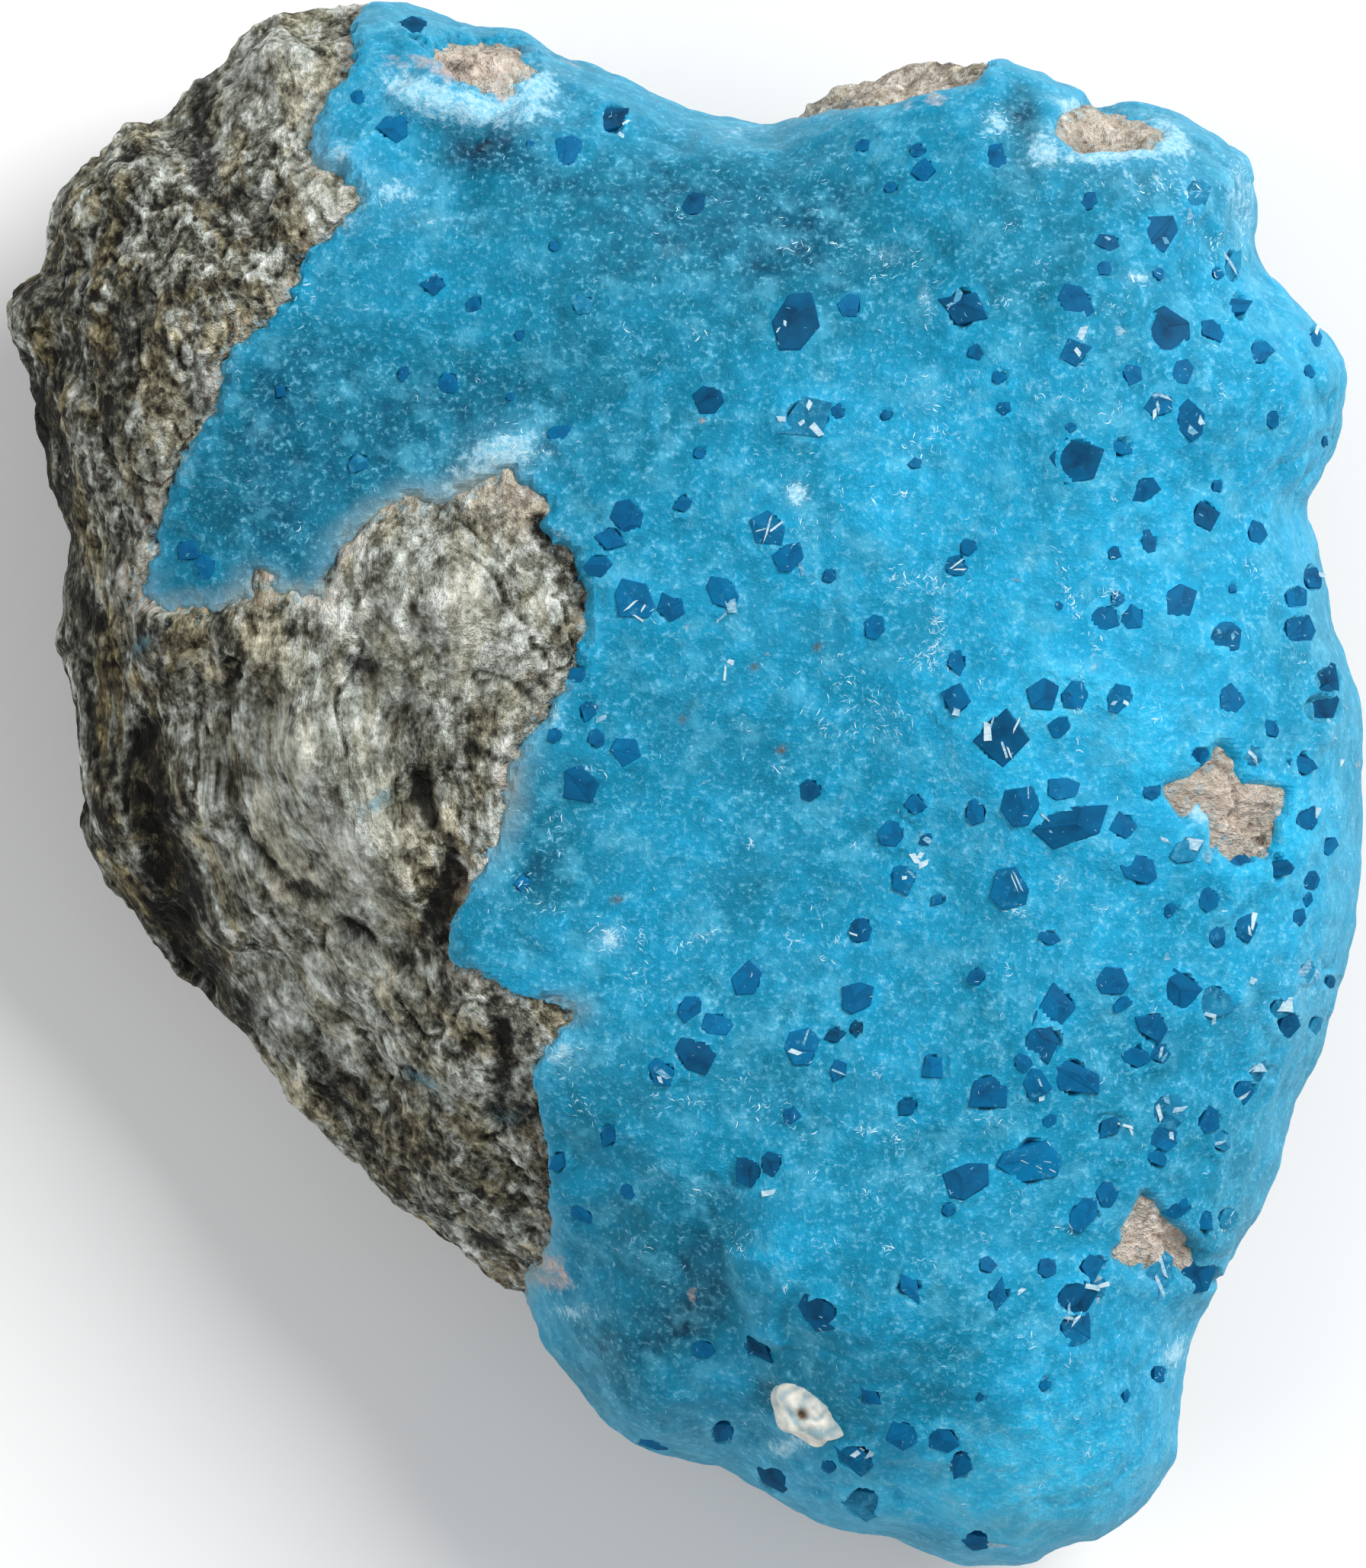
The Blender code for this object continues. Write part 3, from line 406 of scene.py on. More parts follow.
def outer_skin(item):
    """Drops every closed skin but the outermost."""
    chosen = np.zeros(len(item.data.vertices), bool)
    chosen[np.argmax(places(item)[:, 2])] = True
    picked(item)
    bpy.ops.object.mode_set(mode="EDIT")
    bpy.ops.mesh.select_mode(type="VERT")
    bpy.ops.mesh.select_all(action="DESELECT")
    bpy.ops.object.mode_set(mode="OBJECT")
    item.data.vertices.foreach_set("select", chosen)
    return edited(
        item,
        (bpy.ops.mesh.select_linked, {}),
        (bpy.ops.mesh.select_all, {"action": "INVERT"}),
        (bpy.ops.mesh.delete, {"type": "VERT"}),
    )


def whole_form(grid):
    """The whole specimen as one fine skin: both solids swelled until they meet, fused and shrunk back."""
    form = merged_node("hemimorphite_crust")
    rock = merged_node("matrix")
    picked(form)
    rock.select_set(True)
    bpy.ops.object.join()
    form.name = "whole form"
    shaped(form, "DISPLACE", strength=CLOSING * MM, mid_level=0.0)
    shaped(form, "REMESH", mode="VOXEL", voxel_size=grid * MM)
    outer_skin(form)
    shaped(form, "DISPLACE", strength=-CLOSING * MM, mid_level=0.0)
    beds = form.vertex_groups.new(name="crystal beds")
    spots = places(form)
    cover = crystal_cover(spots, 1.9) * (spots[:, 2] > TOP_HEIGHT)
    for index in np.nonzero(cover > 0.3)[0]:
        beds.add([int(index)], 1.0, "REPLACE")
    shaped(form, "SMOOTH", vertex_group="crystal beds", iterations=60, factor=0.6)
    shaped(form, "SMOOTH", iterations=10, factor=0.5)
    form.vertex_groups.clear()
    return form


# Outlines of the scars where the crust has flaked off: by the right edge, lower right and at the top right.
SCARS = [
    [
        (28.6, -0.3), (29.3, -0.1), (30, 0.2), (30.6, 0.9), (31.2, 1.3), (31.4, 1.9), (31.9, 1.3),
        (32.2, 0.5), (32.5, -0.3), (34, -0.5), (34.9, -0.7), (34.8, -1.5), (34.3, -2), (34.3, -3),
        (34.2, -3.9), (32.9, -3.6), (32, -3.8), (31.6, -2.9), (31.2, -1.8), (30.7, -0.9), (30, -0.5),
        (29.3, -1.4),
    ],
    [
        (27, -24.3), (27.6, -25.1), (28.1, -25.7), (28.9, -26.2), (29.9, -27.4), (29.7, -28.5),
        (28.4, -27.5), (27.5, -27.5), (26.7, -28), (25.6, -27.5), (26.1, -26.8), (26, -26.1),
        (26.5, -25.4),
    ],
    [
        (22.2, 38.2), (22.7, 39.2), (24.2, 40), (26.1, 39.2), (28, 38.5), (27.4, 37.7), (25.4, 37.5),
        (23.4, 37.4),
    ],
]


def crust_depth(spots):
    """Millimetres into the crust's cover, and below nought out on bare rock."""
    graph = bpy.context.evaluated_depsgraph_get()
    far = []
    for node in ("matrix", "hemimorphite_crust"):
        tree = BVHTree.FromObject(frame["nodes"][node], graph)
        far.append(np.array([tree.find_nearest(Vector(spot))[3] for spot in spots * MM]) / MM)
    depth = far[0] - far[1]
    for outline in SCARS:
        beyond = outside(spots, outline)
        own = np.where(spots[:, 2] > 12, smooth_step(beyond, 3.0, 1.2), 0)
        depth = depth * (1 - own) + beyond * own
    return depth


def ragged_depth(spots):
    """The same, with the edge of the crust made ragged."""
    depth = crust_depth(spots)
    fray = 0.4 * grain(spots, 1.9, 3) + 0.45 * grain(spots, 0.75, 4, 2)
    for outline in SCARS:
        fray *= 1 - 0.75 * smooth_step(outside(spots, outline), 3, 1)
    return depth + fray * np.exp(-((depth / 2.5) ** 2))


def refined(item, chosen):
    """Splits each face in four where the chosen vertices are."""
    mesh = item.data
    picked(item)
    bpy.ops.object.mode_set(mode="EDIT")
    bpy.ops.mesh.select_mode(type="VERT")
    bpy.ops.mesh.select_all(action="DESELECT")
    bpy.ops.object.mode_set(mode="OBJECT")
    mesh.vertices.foreach_set("select", chosen)
    bpy.ops.object.mode_set(mode="EDIT")
    bpy.ops.mesh.select_mode(type="FACE")
    bpy.ops.mesh.subdivide(number_cuts=1, smoothness=0.6)
    bpy.ops.object.mode_set(mode="OBJECT")
    return item


def flow(spots):
    """Places across and along the rock's strands, which run down the face and swing to the lower right."""
    x, y, z = spots.T
    swing = 0.55 + 0.5 * np.tanh((-y - 2) / 14)
    bend = 0.9 * grain(spots, 9.0, 12) + 0.2 * grain(spots, 2.0, 13)
    across = x * np.cos(swing) + y * np.sin(swing) + bend
    along = y * np.cos(swing) - x * np.sin(swing)
    return np.stack([across, along, z * 0.8], axis=1)


# How deep a cleft of depth 1 is, in millimetres.
CLEFT_DEPTH = 0.6

# Clefts in the rock, cut into its relief and darkened by painted shade: width, depth and line.
CLEFTS = [
    (1.0, 1.4, [(-31.8, 3), (-31.3, -2), (-30.4, -6), (-29.8, -9.5), (-28.6, -12.5)]),
    (
        0.5,
        0.8,
        [
            (-26.5, 7), (-27, 3), (-26.6, 0), (-25.8, -2.5), (-24.5, -4.5), (-23, -6), (-21, -7.5),
            (-18.5, -9), (-16.8, -10.5),
        ],
    ),
    (0.45, 1.0, [(-8.4, 15.4), (-7.8, 14.4), (-6.6, 13.3), (-5.8, 12), (-5.5, 10.5)]),
    (0.6, 0.4, [(-28.3, 41), (-28, 38), (-28, 35)]),
    (0.25, 0.5, [(-24, 37.5), (-23.7, 35.5), (-24.5, 34)]),
    (0.4, 0.6, [(-25.2, 32.6), (-23.5, 31.4), (-22, 30.9)]),
    (0.3, 0.4, [(-39, 30), (-35, 30.6), (-31, 31.5)]),
    (0.6, 1.0, [(-14.6, -8.5), (-13.8, -6.5), (-13.4, -5), (-14.6, -2), (-15.4, 0.5)]),
    (0.5, 0.9, [(-10.6, -14), (-10.4, -16), (-10.5, -18)]),
    (0.4, 0.8, [(-21.5, -18.2), (-20, -19.5), (-18.6, -20)]),
    (0.35, 0.7, [(-36.8, 22.5), (-37.2, 19), (-36.6, 16)]),
    (0.3, 0.5, [(-12.4, 13.5), (-10.7, 12.4), (-10.2, 11), (-8.8, 9.2)]),
    (0.3, 0.5, [(-11.9, 6.3), (-10.2, 6.1), (-8.9, 5.2)]),
    (0.22, 0.35, [(30.3, 0.7), (31.2, 1.2), (32, 0.7), (32.2, -0.2), (32.35, -1.4), (31.9, -1.9)]),
    (0.2, 0.3, [(27.4, -26.1), (28.3, -26.8), (29.2, -27.7)]),
    (0.25, 0.3, [(-35, 8), (-33, 5), (-33.5, 1), (-32.5, -3)]),
    (0.25, 0.3, [(-24, -9), (-22, -12), (-19, -15), (-17, -19)]),
    (0.3, 0.3, [(-30, 24), (-28.6, 21.5), (-29.5, 18.6), (-31.5, 15)]),
]

# Broad painted shade in the rock's clefts and hollows: half width, strength and line.
PAINTED_SHADE_BANDS = [
    (1.5, 1.0, [(-31.6, 1), (-30.8, -4), (-29.8, -9), (-28, -13)]),
    (1.8, 0.9, [(-30, -8), (-28.6, -11.5), (-26.5, -13.5)]),
    (0.7, 0.9, [(-34.6, 4.4), (-33.9, 3.9)]),
    (0.7, 0.8, [(-19.5, 7.4), (-18.3, 6.8)]),
    (0.28, 1.0, [(-22.9, 4.6), (-22.8, 4.4)]),
    (0.3, 1.0, [(-22.3, -5.9), (-21.5, -6.2), (-20.8, -6.6)]),
    (1.0, 0.8, [(-37.6, 23), (-37.4, 19), (-36.6, 15)]),
    (1.2, 0.45, [(-16.6, 4), (-15.8, -1), (-14.4, -6)]),
    (0.8, 0.75, [(-10.7, -13.5), (-10.4, -16), (-10.6, -19)]),
    (0.9, 0.8, [(-14.5, -8), (-13.6, -5)]),
    (0.6, 0.8, [(-12, -26.6), (-11.2, -26.9)]),
    (0.9, 0.7, [(-28.2, 41), (-28, 38), (-27.9, 35)]),
    (0.7, 0.6, [(-31.5, 29.5), (-31, 26.5), (-28.4, 24.4), (-28, 22)]),
    (0.9, 0.6, [(-7.9, 14.8), (-6, 12.6), (-5.4, 10.4)]),
    (1.4, 0.5, [(-8, -20), (-7.7, -23), (-7.6, -26)]),
    (1.6, 0.5, [(-24, -14), (-19, -19), (-14, -25)]),
    (0.5, 0.7, [(-13.5, 42.2), (-12.6, 42.2)]),
]


# Paler areas of the rock, and darker ones, below nought, that are painted shade on flanks and clefts turned
# away from the light.
ROCK_PALENESS_AND_SHADE = [
    (-22, 2, 5, 8, 0, 0.55),
    (-13, 9.5, 6, 6, 0, 0.55),
    (-18, -5, 3, 6, 10, 0.45),
    (-24, 42, 5, 4, 0, 0.36),
    (-21, 34.5, 2.4, 1.3, 0, 0.5),
    (-28.5, 22, 2.4, 4, 0, 0.4),
    (-23.5, -13, 4, 5, 30, 0.3),
    (-12, 42.3, 4, 2, 0, 0.6),
    (25, 38.6, 4, 2, 0, 0.5),
    (32, -1.5, 4, 4, 0, 0.8),
    (28, -26.5, 4, 4, 0, 0.7),
    (12, 42, 6, 3, 0, 0.2),
    (-34.5, 3, 3.6, 11, 0, -0.7),
    (-29.5, -8.5, 3.5, 5, 20, -0.9),
    (-37.5, 22, 3, 10, 0, -0.5),
    (-32, 29, 7, 6, 0, -0.45),
    (-28, 9, 4, 4, 0, -0.25),
    (-11, -20, 3, 8, 0, -0.1),
    (-18, -27, 10, 4, -45, -0.3),
    (-14, -7.5, 1.6, 3, 0, -0.6),
]
# Where black specks are strewn over it.
SPECKLED_ROCK = [
    (-33, 23, 6, 8, 0, 1.0),
    (-30, 32, 8, 5, 0, 0.7),
    (-31, 10, 4, 5, 0, 0.5),
    (-19, 7, 3, 2.5, 0, 0.8),
    (-14, -24, 6, 4, 0, 0.6),
]


# Where the rock is beige, as under the scars, and where it has a faint blue tint.
BEIGE_ROCK = [
    (31.8, -1.2, 4, 4, 0, 1.0),
    (28, -26.5, 3, 3, 0, 1.0),
    (25, 38.6, 4, 2, 0, 0.7),
    (-12.6, 42.3, 4, 1.6, 0, 1.0),
    (12.5, 41.5, 5, 2.5, 0, 0.6),
    (-9.4, 17, 1.6, 1.6, 0, 0.5),
]
BLUE_TINTS = [
    (-17.8, -1, 0.9, 0.4, 35, 1.0),
    (-15.2, -17.5, 1.4, 0.5, -30, 0.8),
    (-31.5, 8.2, 0.9, 0.35, 40, 0.7),
    (-10.5, -19.5, 0.9, 0.6, 0, 0.5),
]


def rock_relief(spots, strands):
    """Lumps, crumbs and cracks of the bare rock, in millimetres."""
    lumps = strands * (1.0, 0.8, 0.95)
    leaves = strands * (1.0, 0.45, 0.85)
    rise = 0.55 * grain(lumps, 4.2, 1, 5)
    rise += 0.08 * ridges(leaves, 1.2, 2) * smooth_step(grain(spots, 5.0, 11), -0.3, 0.3)
    calm = 1 - 0.6 * np.clip(soft_spots(spots, ROCK_PALENESS_AND_SHADE), 0, 1)
    crumbly = smooth_step(grain(spots, 3.6, 14), -0.35, 0.35) * calm
    rise += crumbly * (0.34 * (beads(spots + 0.7 * lumps, 1.8, 5) - 0.6) + 0.14 * grain(spots, 0.8, 6, 2))
    cracked = np.exp(-((grain(lumps, 2.6, 9) / 0.05) ** 2))
    return rise - 0.28 * cracked * smooth_step(grain(spots, 3.0, 10), 0.0, 0.3)


def banded(spots, bands):
    """From 1 on the bands' lines to 0 beside them."""
    cover = np.zeros(len(spots))
    fray = 0.5 * grain(spots, 1.7, 8) + 0.3 * grain(spots, 0.6, 15)
    broken = 0.45 + 0.55 * smooth_step(grain(spots, 2.6, 17), -0.5, 0.1)
    for width, strength, line in bands:
        far, _ = line_distance(spots, line)
        frayed = far + fray * min(1.7 * width, 1.1)
        cover = np.maximum(cover, strength * np.exp(-((frayed / width) ** 2)))
    return cover * broken


def make_rock():
    rock = whole_form(ROCK_GRID)
    rock.name = "host_rock"
    spots = places(rock)
    depth = crust_depth(spots)
    refined(rock, (depth < 1.4) & (ways_up(rock) > -0.25))

    spots = places(rock)
    depth = ragged_depth(spots)
    strands = flow(spots)
    cleft = banded(spots, CLEFTS) * smooth_step(ways_up(rock), -0.1, 0.4)
    rise = (rock_relief(spots, strands) - CLEFT_DEPTH * cleft) * smooth_step(-depth, -1.5, 0.5)
    rise -= ROCK_DIVE * smooth_step(depth, 0.2, 4.2) + 0.25 * smooth_step(depth, -0.6, 0.6)
    move_out(rock, rise)
    inside_box(rock)

    # For the colour: painted light on crests and painted shade in small hollows.
    keep_values(rock, "hollow", hollowness(rock, 4, 0.1))
    # For the colour: painted shade in broad hollows.
    keep_values(rock, "valley", np.clip(hollowness(rock, 60, 0.9), 0, 1))
    # For the colour: painted shade in the clefts and the broad shaded hollows.
    keep_values(rock, "crevice", np.clip(cleft + banded(spots, PAINTED_SHADE_BANDS) * (ways_up(rock) > -0.2), 0, 1))
    keep_values(rock, "near_crust", smooth_step(depth, -1.6, 0.2))
    # Below nought where painted shade darkens the rock.
    keep_values(rock, "pale", soft_spots(spots, ROCK_PALENESS_AND_SHADE))
    keep_values(rock, "specks", soft_spots(spots, SPECKLED_ROCK))
    keep_values(rock, "beige", np.clip(soft_spots(spots, BEIGE_ROCK), 0, 1))
    keep_values(rock, "tint", np.clip(soft_spots(spots, BLUE_TINTS), 0, 1))
    keep_vectors(rock, "strands", strands)
    return rock


def ways_up(item):
    return normals(item)[:, 2]


# Steps in the crust: the higher side is on the line's left. Height, reach and line.
LEDGES = [
    (0.5, 4.5, [(0.4, 23.6), (-1, 24), (-3, 23.4), (-4, 22), (-6.5, 20.6), (-8.5, 20)]),
    (0.7, 3.4, [(2.4, -26.6), (3.2, -28.4), (3.8, -30.2), (4.3, -31.8), (5.4, -32.6), (6.6, -32.7)]),
    (1.1, 2.6, [(-17.6, 40.6), (-15.2, 39.1), (-13.4, 39), (-12, 38), (-10.5, 38.8), (-9.4, 40.4)]),
    (0.5, 2.4, [(-22, 36), (-19.2, 36), (-18.2, 37.1), (-18, 38.6)]),
    (0.4, 2.6, [(20.2, 39.4), (20.4, 37), (20.9, 35.8), (21.6, 33.6)]),
    (0.35, 2.0, [(-6, -7.6), (-8.2, -7.8), (-10, -8.6)]),
    (0.5, 2.0, [(-8.6, 20.2), (-10.6, 20.8), (-12.4, 19.4), (-13.4, 17)]),
    (0.35, 2.5, [(6.2, 37), (4, 37.2), (1.6, 37.4), (0.8, 38.6)]),
]


def crust_relief(spots):
    """Soft swells, beads and steps of the crust, in millimetres."""
    rise = 0.3 * grain(spots, 4.6, 20) + 0.13 * grain(spots, 1.9, 21, 2) + 0.03 * grain(spots, 0.62, 22)
    bead_area = np.clip(soft_spots(spots, BEADED_AREAS), 0, 1)
    rise += (0.06 + 0.26 * bead_area) * (beads(spots, 2.1, 23) - 0.6)
    face = spots[:, 2] > FACE_HEIGHT
    rise *= 1 - 0.9 * crystal_cover(spots, 1.5) * face
    for height, reach, line in LEDGES:
        rise += ledge(spots, line, height, reach) * face
    return rise - crystal_cover(spots, SOCKET_REACH, SOCKET_DEPTH) * face


def make_crust():
    crust = whole_form(CRUST_GRID)
    crust.name = "blue_crust"
    base = places(crust)
    base_depth = crust_depth(base)

    cutter = loose_copy("rock under crust", crust)
    under = smooth_step(base_depth, -1.7, -0.9)
    move_out(cutter, CUTTER_SWELL - (CUTTER_SWELL + CRUST_THICKNESS) * under)

    refined(crust, (base_depth > -1.2) & (ways_up(crust) > -0.35))
    spots = places(crust)
    depth = ragged_depth(spots)
    edge = EDGE_SWELL * np.exp(-(((depth - 1.0) / 1.4) ** 2)) * (1 - thin_edges(spots))
    rolled = EDGE_ROLL * np.sqrt(np.clip(1 - np.clip((depth + 0.35) / 1.25, 0, 1), 0, 1)) ** 3
    move_out(crust, crust_relief(spots) + edge - rolled - EDGE_SINK * smooth_step(-depth, 0.4, 1.6))
    inside_box(crust)

    shaped(crust, "BOOLEAN", operation="DIFFERENCE", solver="MANIFOLD", object=cutter)
    bpy.data.objects.remove(cutter)
    spots = places(crust)
    depth = ragged_depth(spots)
    # For the colour: painted light on crests and painted shade in small hollows.
    keep_values(crust, "hollow", hollowness(crust, 5, 0.08))
    # For the colour: painted light on broad crests and painted shade in broad hollows.
    keep_values(crust, "valley", np.clip(hollowness(crust, 40, 0.5), -1, 1))
    # The crust's own tone, with painted light and painted shade.
    keep_values(crust, "tone", soft_spots(spots, CRUST_TONES_LIGHT_AND_SHADE))
    keep_values(crust, "frost", frosting(spots, depth))
    keep_values(crust, "edge", depth)
    keep_values(crust, "thin", thin_edges(spots))
    # Steep slopes, for painted rim light in the crust's colour.
    keep_values(crust, "steep", smooth_step(ways_up(crust), 0.75, 0.25))
    keep_values(crust, "peach", np.clip(soft_spots(spots, PEACH), 0, 1))
    keep_values(crust, "brown", np.clip(soft_spots(spots, BROWN), 0, 1))
    return crust


# Where the crust thins out to nothing over the rock, instead of ending in a step.
THIN_EDGES = [
    (-29, 10.8, 3, 1.4, 0, 1.0),
    (-24, 11, 4, 1.6, 0, 1.0),
    (-19, 10.6, 3, 1.2, 0, 1.0),
    (-17, 15.4, 4, 2.2, 20, 1.0),
    (-12, 17.4, 2.4, 2.0, 0, 0.8),
    (-10.4, -0.8, 2.4, 3.6, 0, 1.0),
    (-9, -28.6, 2.6, 3, 0, 1.0),
    (-21.4, 36.5, 1.6, 3, 0, 0.5),
    (7.5, 38.6, 3.5, 1.6, 0, 1.0),
    (-6.5, -13, 2, 1.2, 0, 0.7),
]


def thin_edges(spots):
    return np.clip(soft_spots(spots, THIN_EDGES), 0, 1)


# Where the rock shows through the crust peach-coloured, and brown.
PEACH = [
    (-12.6, 42.3, 3.2, 1.1, 6, 1.0),
    (-10.6, 40.4, 0.5, 0.5, 0, 0.9),
    (-16.6, 16.2, 1.4, 0.7, 20, 0.7),
    (-14.6, 15.6, 0.7, 0.5, 0, 0.7),
    (-7.4, -28.6, 1.6, 1.8, 0, 0.6),
    (0.6, -30, 0.35, 0.9, 0, 0.6),
    (25, 37.6, 3.2, 0.5, 0, 0.5),
    (-17, 42.6, 1.2, 0.6, 0, 0.5),
    (-6.8, 42.6, 1.6, 0.8, 0, 0.4),
    (14, 40.2, 3, 1, 0, 0.5),
    (1.1, 21.3, 0.25, 0.25, 0, 0.8),
    (0.3, 9.2, 0.2, 0.2, 0, 0.8),
    (-12.3, 25.2, 0.2, 0.2, 0, 0.8),
    (4.9, 7.7, 0.25, 0.2, 0, 0.8),
    (24, 6.9, 0.2, 0.4, 0, 0.8),
    (24.7, -23.4, 0.3, 0.25, 0, 0.7),
    (39.8, 1.2, 0.3, 0.4, 0, 0.7),
]
BROWN = [
    (7.9, 8.1, 0.2, 0.2, 0, 1.4),
    (4.2, 6.9, 0.25, 0.2, 0, 1.4),
    (0.5, 4.7, 0.2, 0.2, 0, 1.4),
    (0.1, 3.9, 0.2, 0.25, 0, 1.4),
    (5.8, 2.1, 0.25, 0.2, 0, 1.4),
    (-3.9, -6.7, 0.3, 0.2, 0, 1.4),
    (-13, 42.2, 0.8, 0.5, 0, 1.0),
    (-11.6, 41.8, 0.4, 0.25, 0, 0.7),
    (-9.6, 43.3, 0.9, 0.25, 0, 0.6),
]

# Where the crust is beaded like grapes: x, y, half width, half height, turn, strength.
BEADED_AREAS = [
    (37, 22, 4, 7, 0, 1.0),
    (37, -12, 4, 6, 0, 0.8),
    (33, 33, 4, 5, 0, 0.7),
    (-12, 40, 8, 3, 0, 0.8),
    (8, -38, 6, 5, 0, 0.6),
    (-7, -27, 4, 6, 0, 0.5),
    (25, 38, 6, 3, 0, 0.6),
]

# Brighter and duller areas of the crust: partly its own tone, partly painted light on lit swells and painted
# shade in hollows, under the knobs and beside the nodule.
CRUST_TONES_LIGHT_AND_SHADE = [
    (22, 8, 11, 14, 0, 0.62),
    (27, -4, 9, 10, 0, 0.25),
    (35, 24, 5, 9, 0, 0.5),
    (24, -36, 8, 8, 0, 0.5),
    (13, 22, 5, 5, 0, 0.3),
    (-8, -10, 3, 2.6, 0, 0.3),
    (-3, -9, 4, 5, 0, 0.3),
    (12, -13, 5, 5, 0, 0.25),
    (4, 15, 9, 5, 0, 0.25),
    (36, -6, 4, 8, 0, 0.45),
    (7, -28, 3, 4, 0, 0.3),
    (3, -35, 2, 1.6, 0, 0.35),
    (-5.5, -23, 1.6, 1.6, 0, 0.5),
    (-13, 29, 8, 5, 0, 0.12),
    (-23, 18, 8, 10, 0, -0.62),
    (-12, 23, 9, 4, 0, -0.4),
    (-6, 25, 4, 3, 0, -0.3),
    (9, -6, 6, 5, 0, 0.08),
    (3.6, -6.5, 1.3, 3, 0, -0.4),
    (2, 32, 12, 5, 0, -0.8),
    (20, 31, 5, 4, 0, -0.24),
    (18, -42, 8, 4, 0, 0.95),
    (-8.3, -5, 2, 2.8, 0, -0.6),
    (-7, 0, 3, 2, 0, -0.4),
    (1.2, -29.5, 2.2, 3, 0, -0.85),
    (-1, -32, 2, 1.5, 0, -0.65),
    (-4.5, -34, 3, 3, 0, -0.6),
    (-3, -27, 4, 3, 0, -0.45),
    (-5, -19.5, 3, 4, 0, -0.3),
    (5.2, -35.5, 1, 1.6, 0, -0.7),
    (-12, 37, 2.6, 1.1, 0, -0.9),
    (-9, 35, 4, 2, 0, -0.35),
    (20, 39.4, 1, 1.8, 0, -0.9),
    (20, 35.6, 1.2, 1.6, 0, -0.45),
    (23, 31.5, 1.6, 2.4, 0, -0.3),
    (19, -31, 3, 2, 0, -0.25),
    (14, -44.6, 3, 1, 0, -0.8),
    (8.4, 17, 0.8, 2, 30, -0.3),
    (31, 27, 3, 4, 0, -0.15),
]

# Frosted whitish areas.
FROST = [
    (-10.4, 19.6, 2.6, 1.4, 10, 0.9),
    (-13.4, 17.2, 1.6, 1.2, 30, 0.6),
    (-17, 16, 2, 0.9, 20, 0.45),
    (-17, 34.8, 2.0, 0.9, 0, 0.6),
    (-12, 39.6, 3.6, 1.1, -8, 0.95),
    (-16, 41, 2.0, 1.2, 0, 0.75),
    (-8.3, 41, 1.6, 1.6, 0, 0.75),
    (-19.6, 37, 1.6, 1.2, 0, 0.35),
    (3, 38.5, 2.0, 0.6, 0, 0.45),
    (18.4, 38.9, 0.9, 0.9, 0, 0.7),
    (21.2, 37.6, 1.0, 1.2, 0, 0.8),
    (25, 37, 4.2, 0.6, 6, 0.85),
    (28.8, 38.2, 1.4, 1.2, 0, 0.7),
    (22.8, 40, 1.2, 0.5, -20, 0.8),
    (28, 35.6, 4, 1.2, 0, 0.35),
    (6.7, 17, 0.6, 0.7, 30, 1.1),
    (14.2, 28.6, 0.3, 0.8, 15, 0.8),
    (-7, -15.8, 1.4, 0.9, 0, 0.6),
    (-4.3, -9, 0.9, 0.7, 0, 0.8),
    (1, -38, 3, 1.6, 0, 0.2),
    (6.2, -38.8, 1.5, 0.7, 10, 0.75),
    (33, 34.5, 1.2, 3, 0, 0.5),
    (30.2, -1.6, 0.9, 0.6, -30, 0.9),
    (27.6, -28.6, 0.9, 0.8, 0, 0.5),
    (29, -33.4, 1.0, 0.8, 40, 0.7),
    (-6.5, -31, 1.6, 0.6, 0, 0.5),
    (36.4, -12.5, 1.6, 2.5, 0, 0.3),
    (26.6, 29.7, 1.0, 0.4, 0, 0.6),
    (8.2, 23.9, 0.6, 0.4, 0, 0.5),
    (-0.6, 31.2, 0.8, 0.4, 0, 0.4),
    (12, 31, 1.0, 0.5, 0, 0.5),
    (-15, 33, 3, 0.6, 0, 0.3),
]


def frosting(spots, depth):
    rim = np.exp(-(((depth - 0.4) / 0.5) ** 2)) * smooth_step(grain(spots, 4.0, 32), -0.2, 0.5)
    return np.clip(soft_spots(spots, FROST) + 0.4 * rim, 0, 1.2)


def rough_crystal(seed):
    """One blocky crystal, a unit across: an uneven prism whose top is broken into a few flat facets."""
    draw = random.Random(seed)
    sides = (5, 6, 4, 5, 6)[seed % 5]
    bpy.ops.object.select_all(action="DESELECT")
    bpy.ops.mesh.primitive_cylinder_add(vertices=sides, radius=0.5, depth=1.0)
    item = bpy.context.active_object
    stretch = [draw.uniform(0.84, 1.12) for _ in range(sides)]
    swing = [draw.uniform(-0.26, 0.26) for _ in range(sides)]
    for vert in item.data.vertices:
        corner = round(math.atan2(vert.co.y, vert.co.x) * sides / math.tau - 0.25) % sides
        flat = Matrix.Rotation(swing[corner], 2) @ Vector(vert.co[:2])
        narrow = 0.94 if vert.co.z > 0 else 1.06
        vert.co.x, vert.co.y = flat * stretch[corner] * narrow
    middle = Vector((draw.uniform(-0.14, 0.14), draw.uniform(-0.14, 0.14), CROWN))
    first = draw.uniform(0, math.tau)
    bpy.ops.object.mode_set(mode="EDIT")
    for cut in range(TOP_CUTS):
        angle = first + (cut + draw.uniform(-0.25, 0.25)) * math.tau / TOP_CUTS
        slope = draw.uniform(0.05, 0.15)
        way = Vector((slope * math.cos(angle), slope * math.sin(angle), 1)).normalized()
        bpy.ops.mesh.select_all(action="SELECT")
        bpy.ops.mesh.bisect(plane_co=middle, plane_no=way, use_fill=True, clear_outer=True, threshold=1e-5)
    bpy.ops.mesh.select_all(action="SELECT")
    bpy.ops.mesh.bevel(offset=0.02, segments=1, affect="EDGES")
    bpy.ops.object.mode_set(mode="OBJECT")
    return item


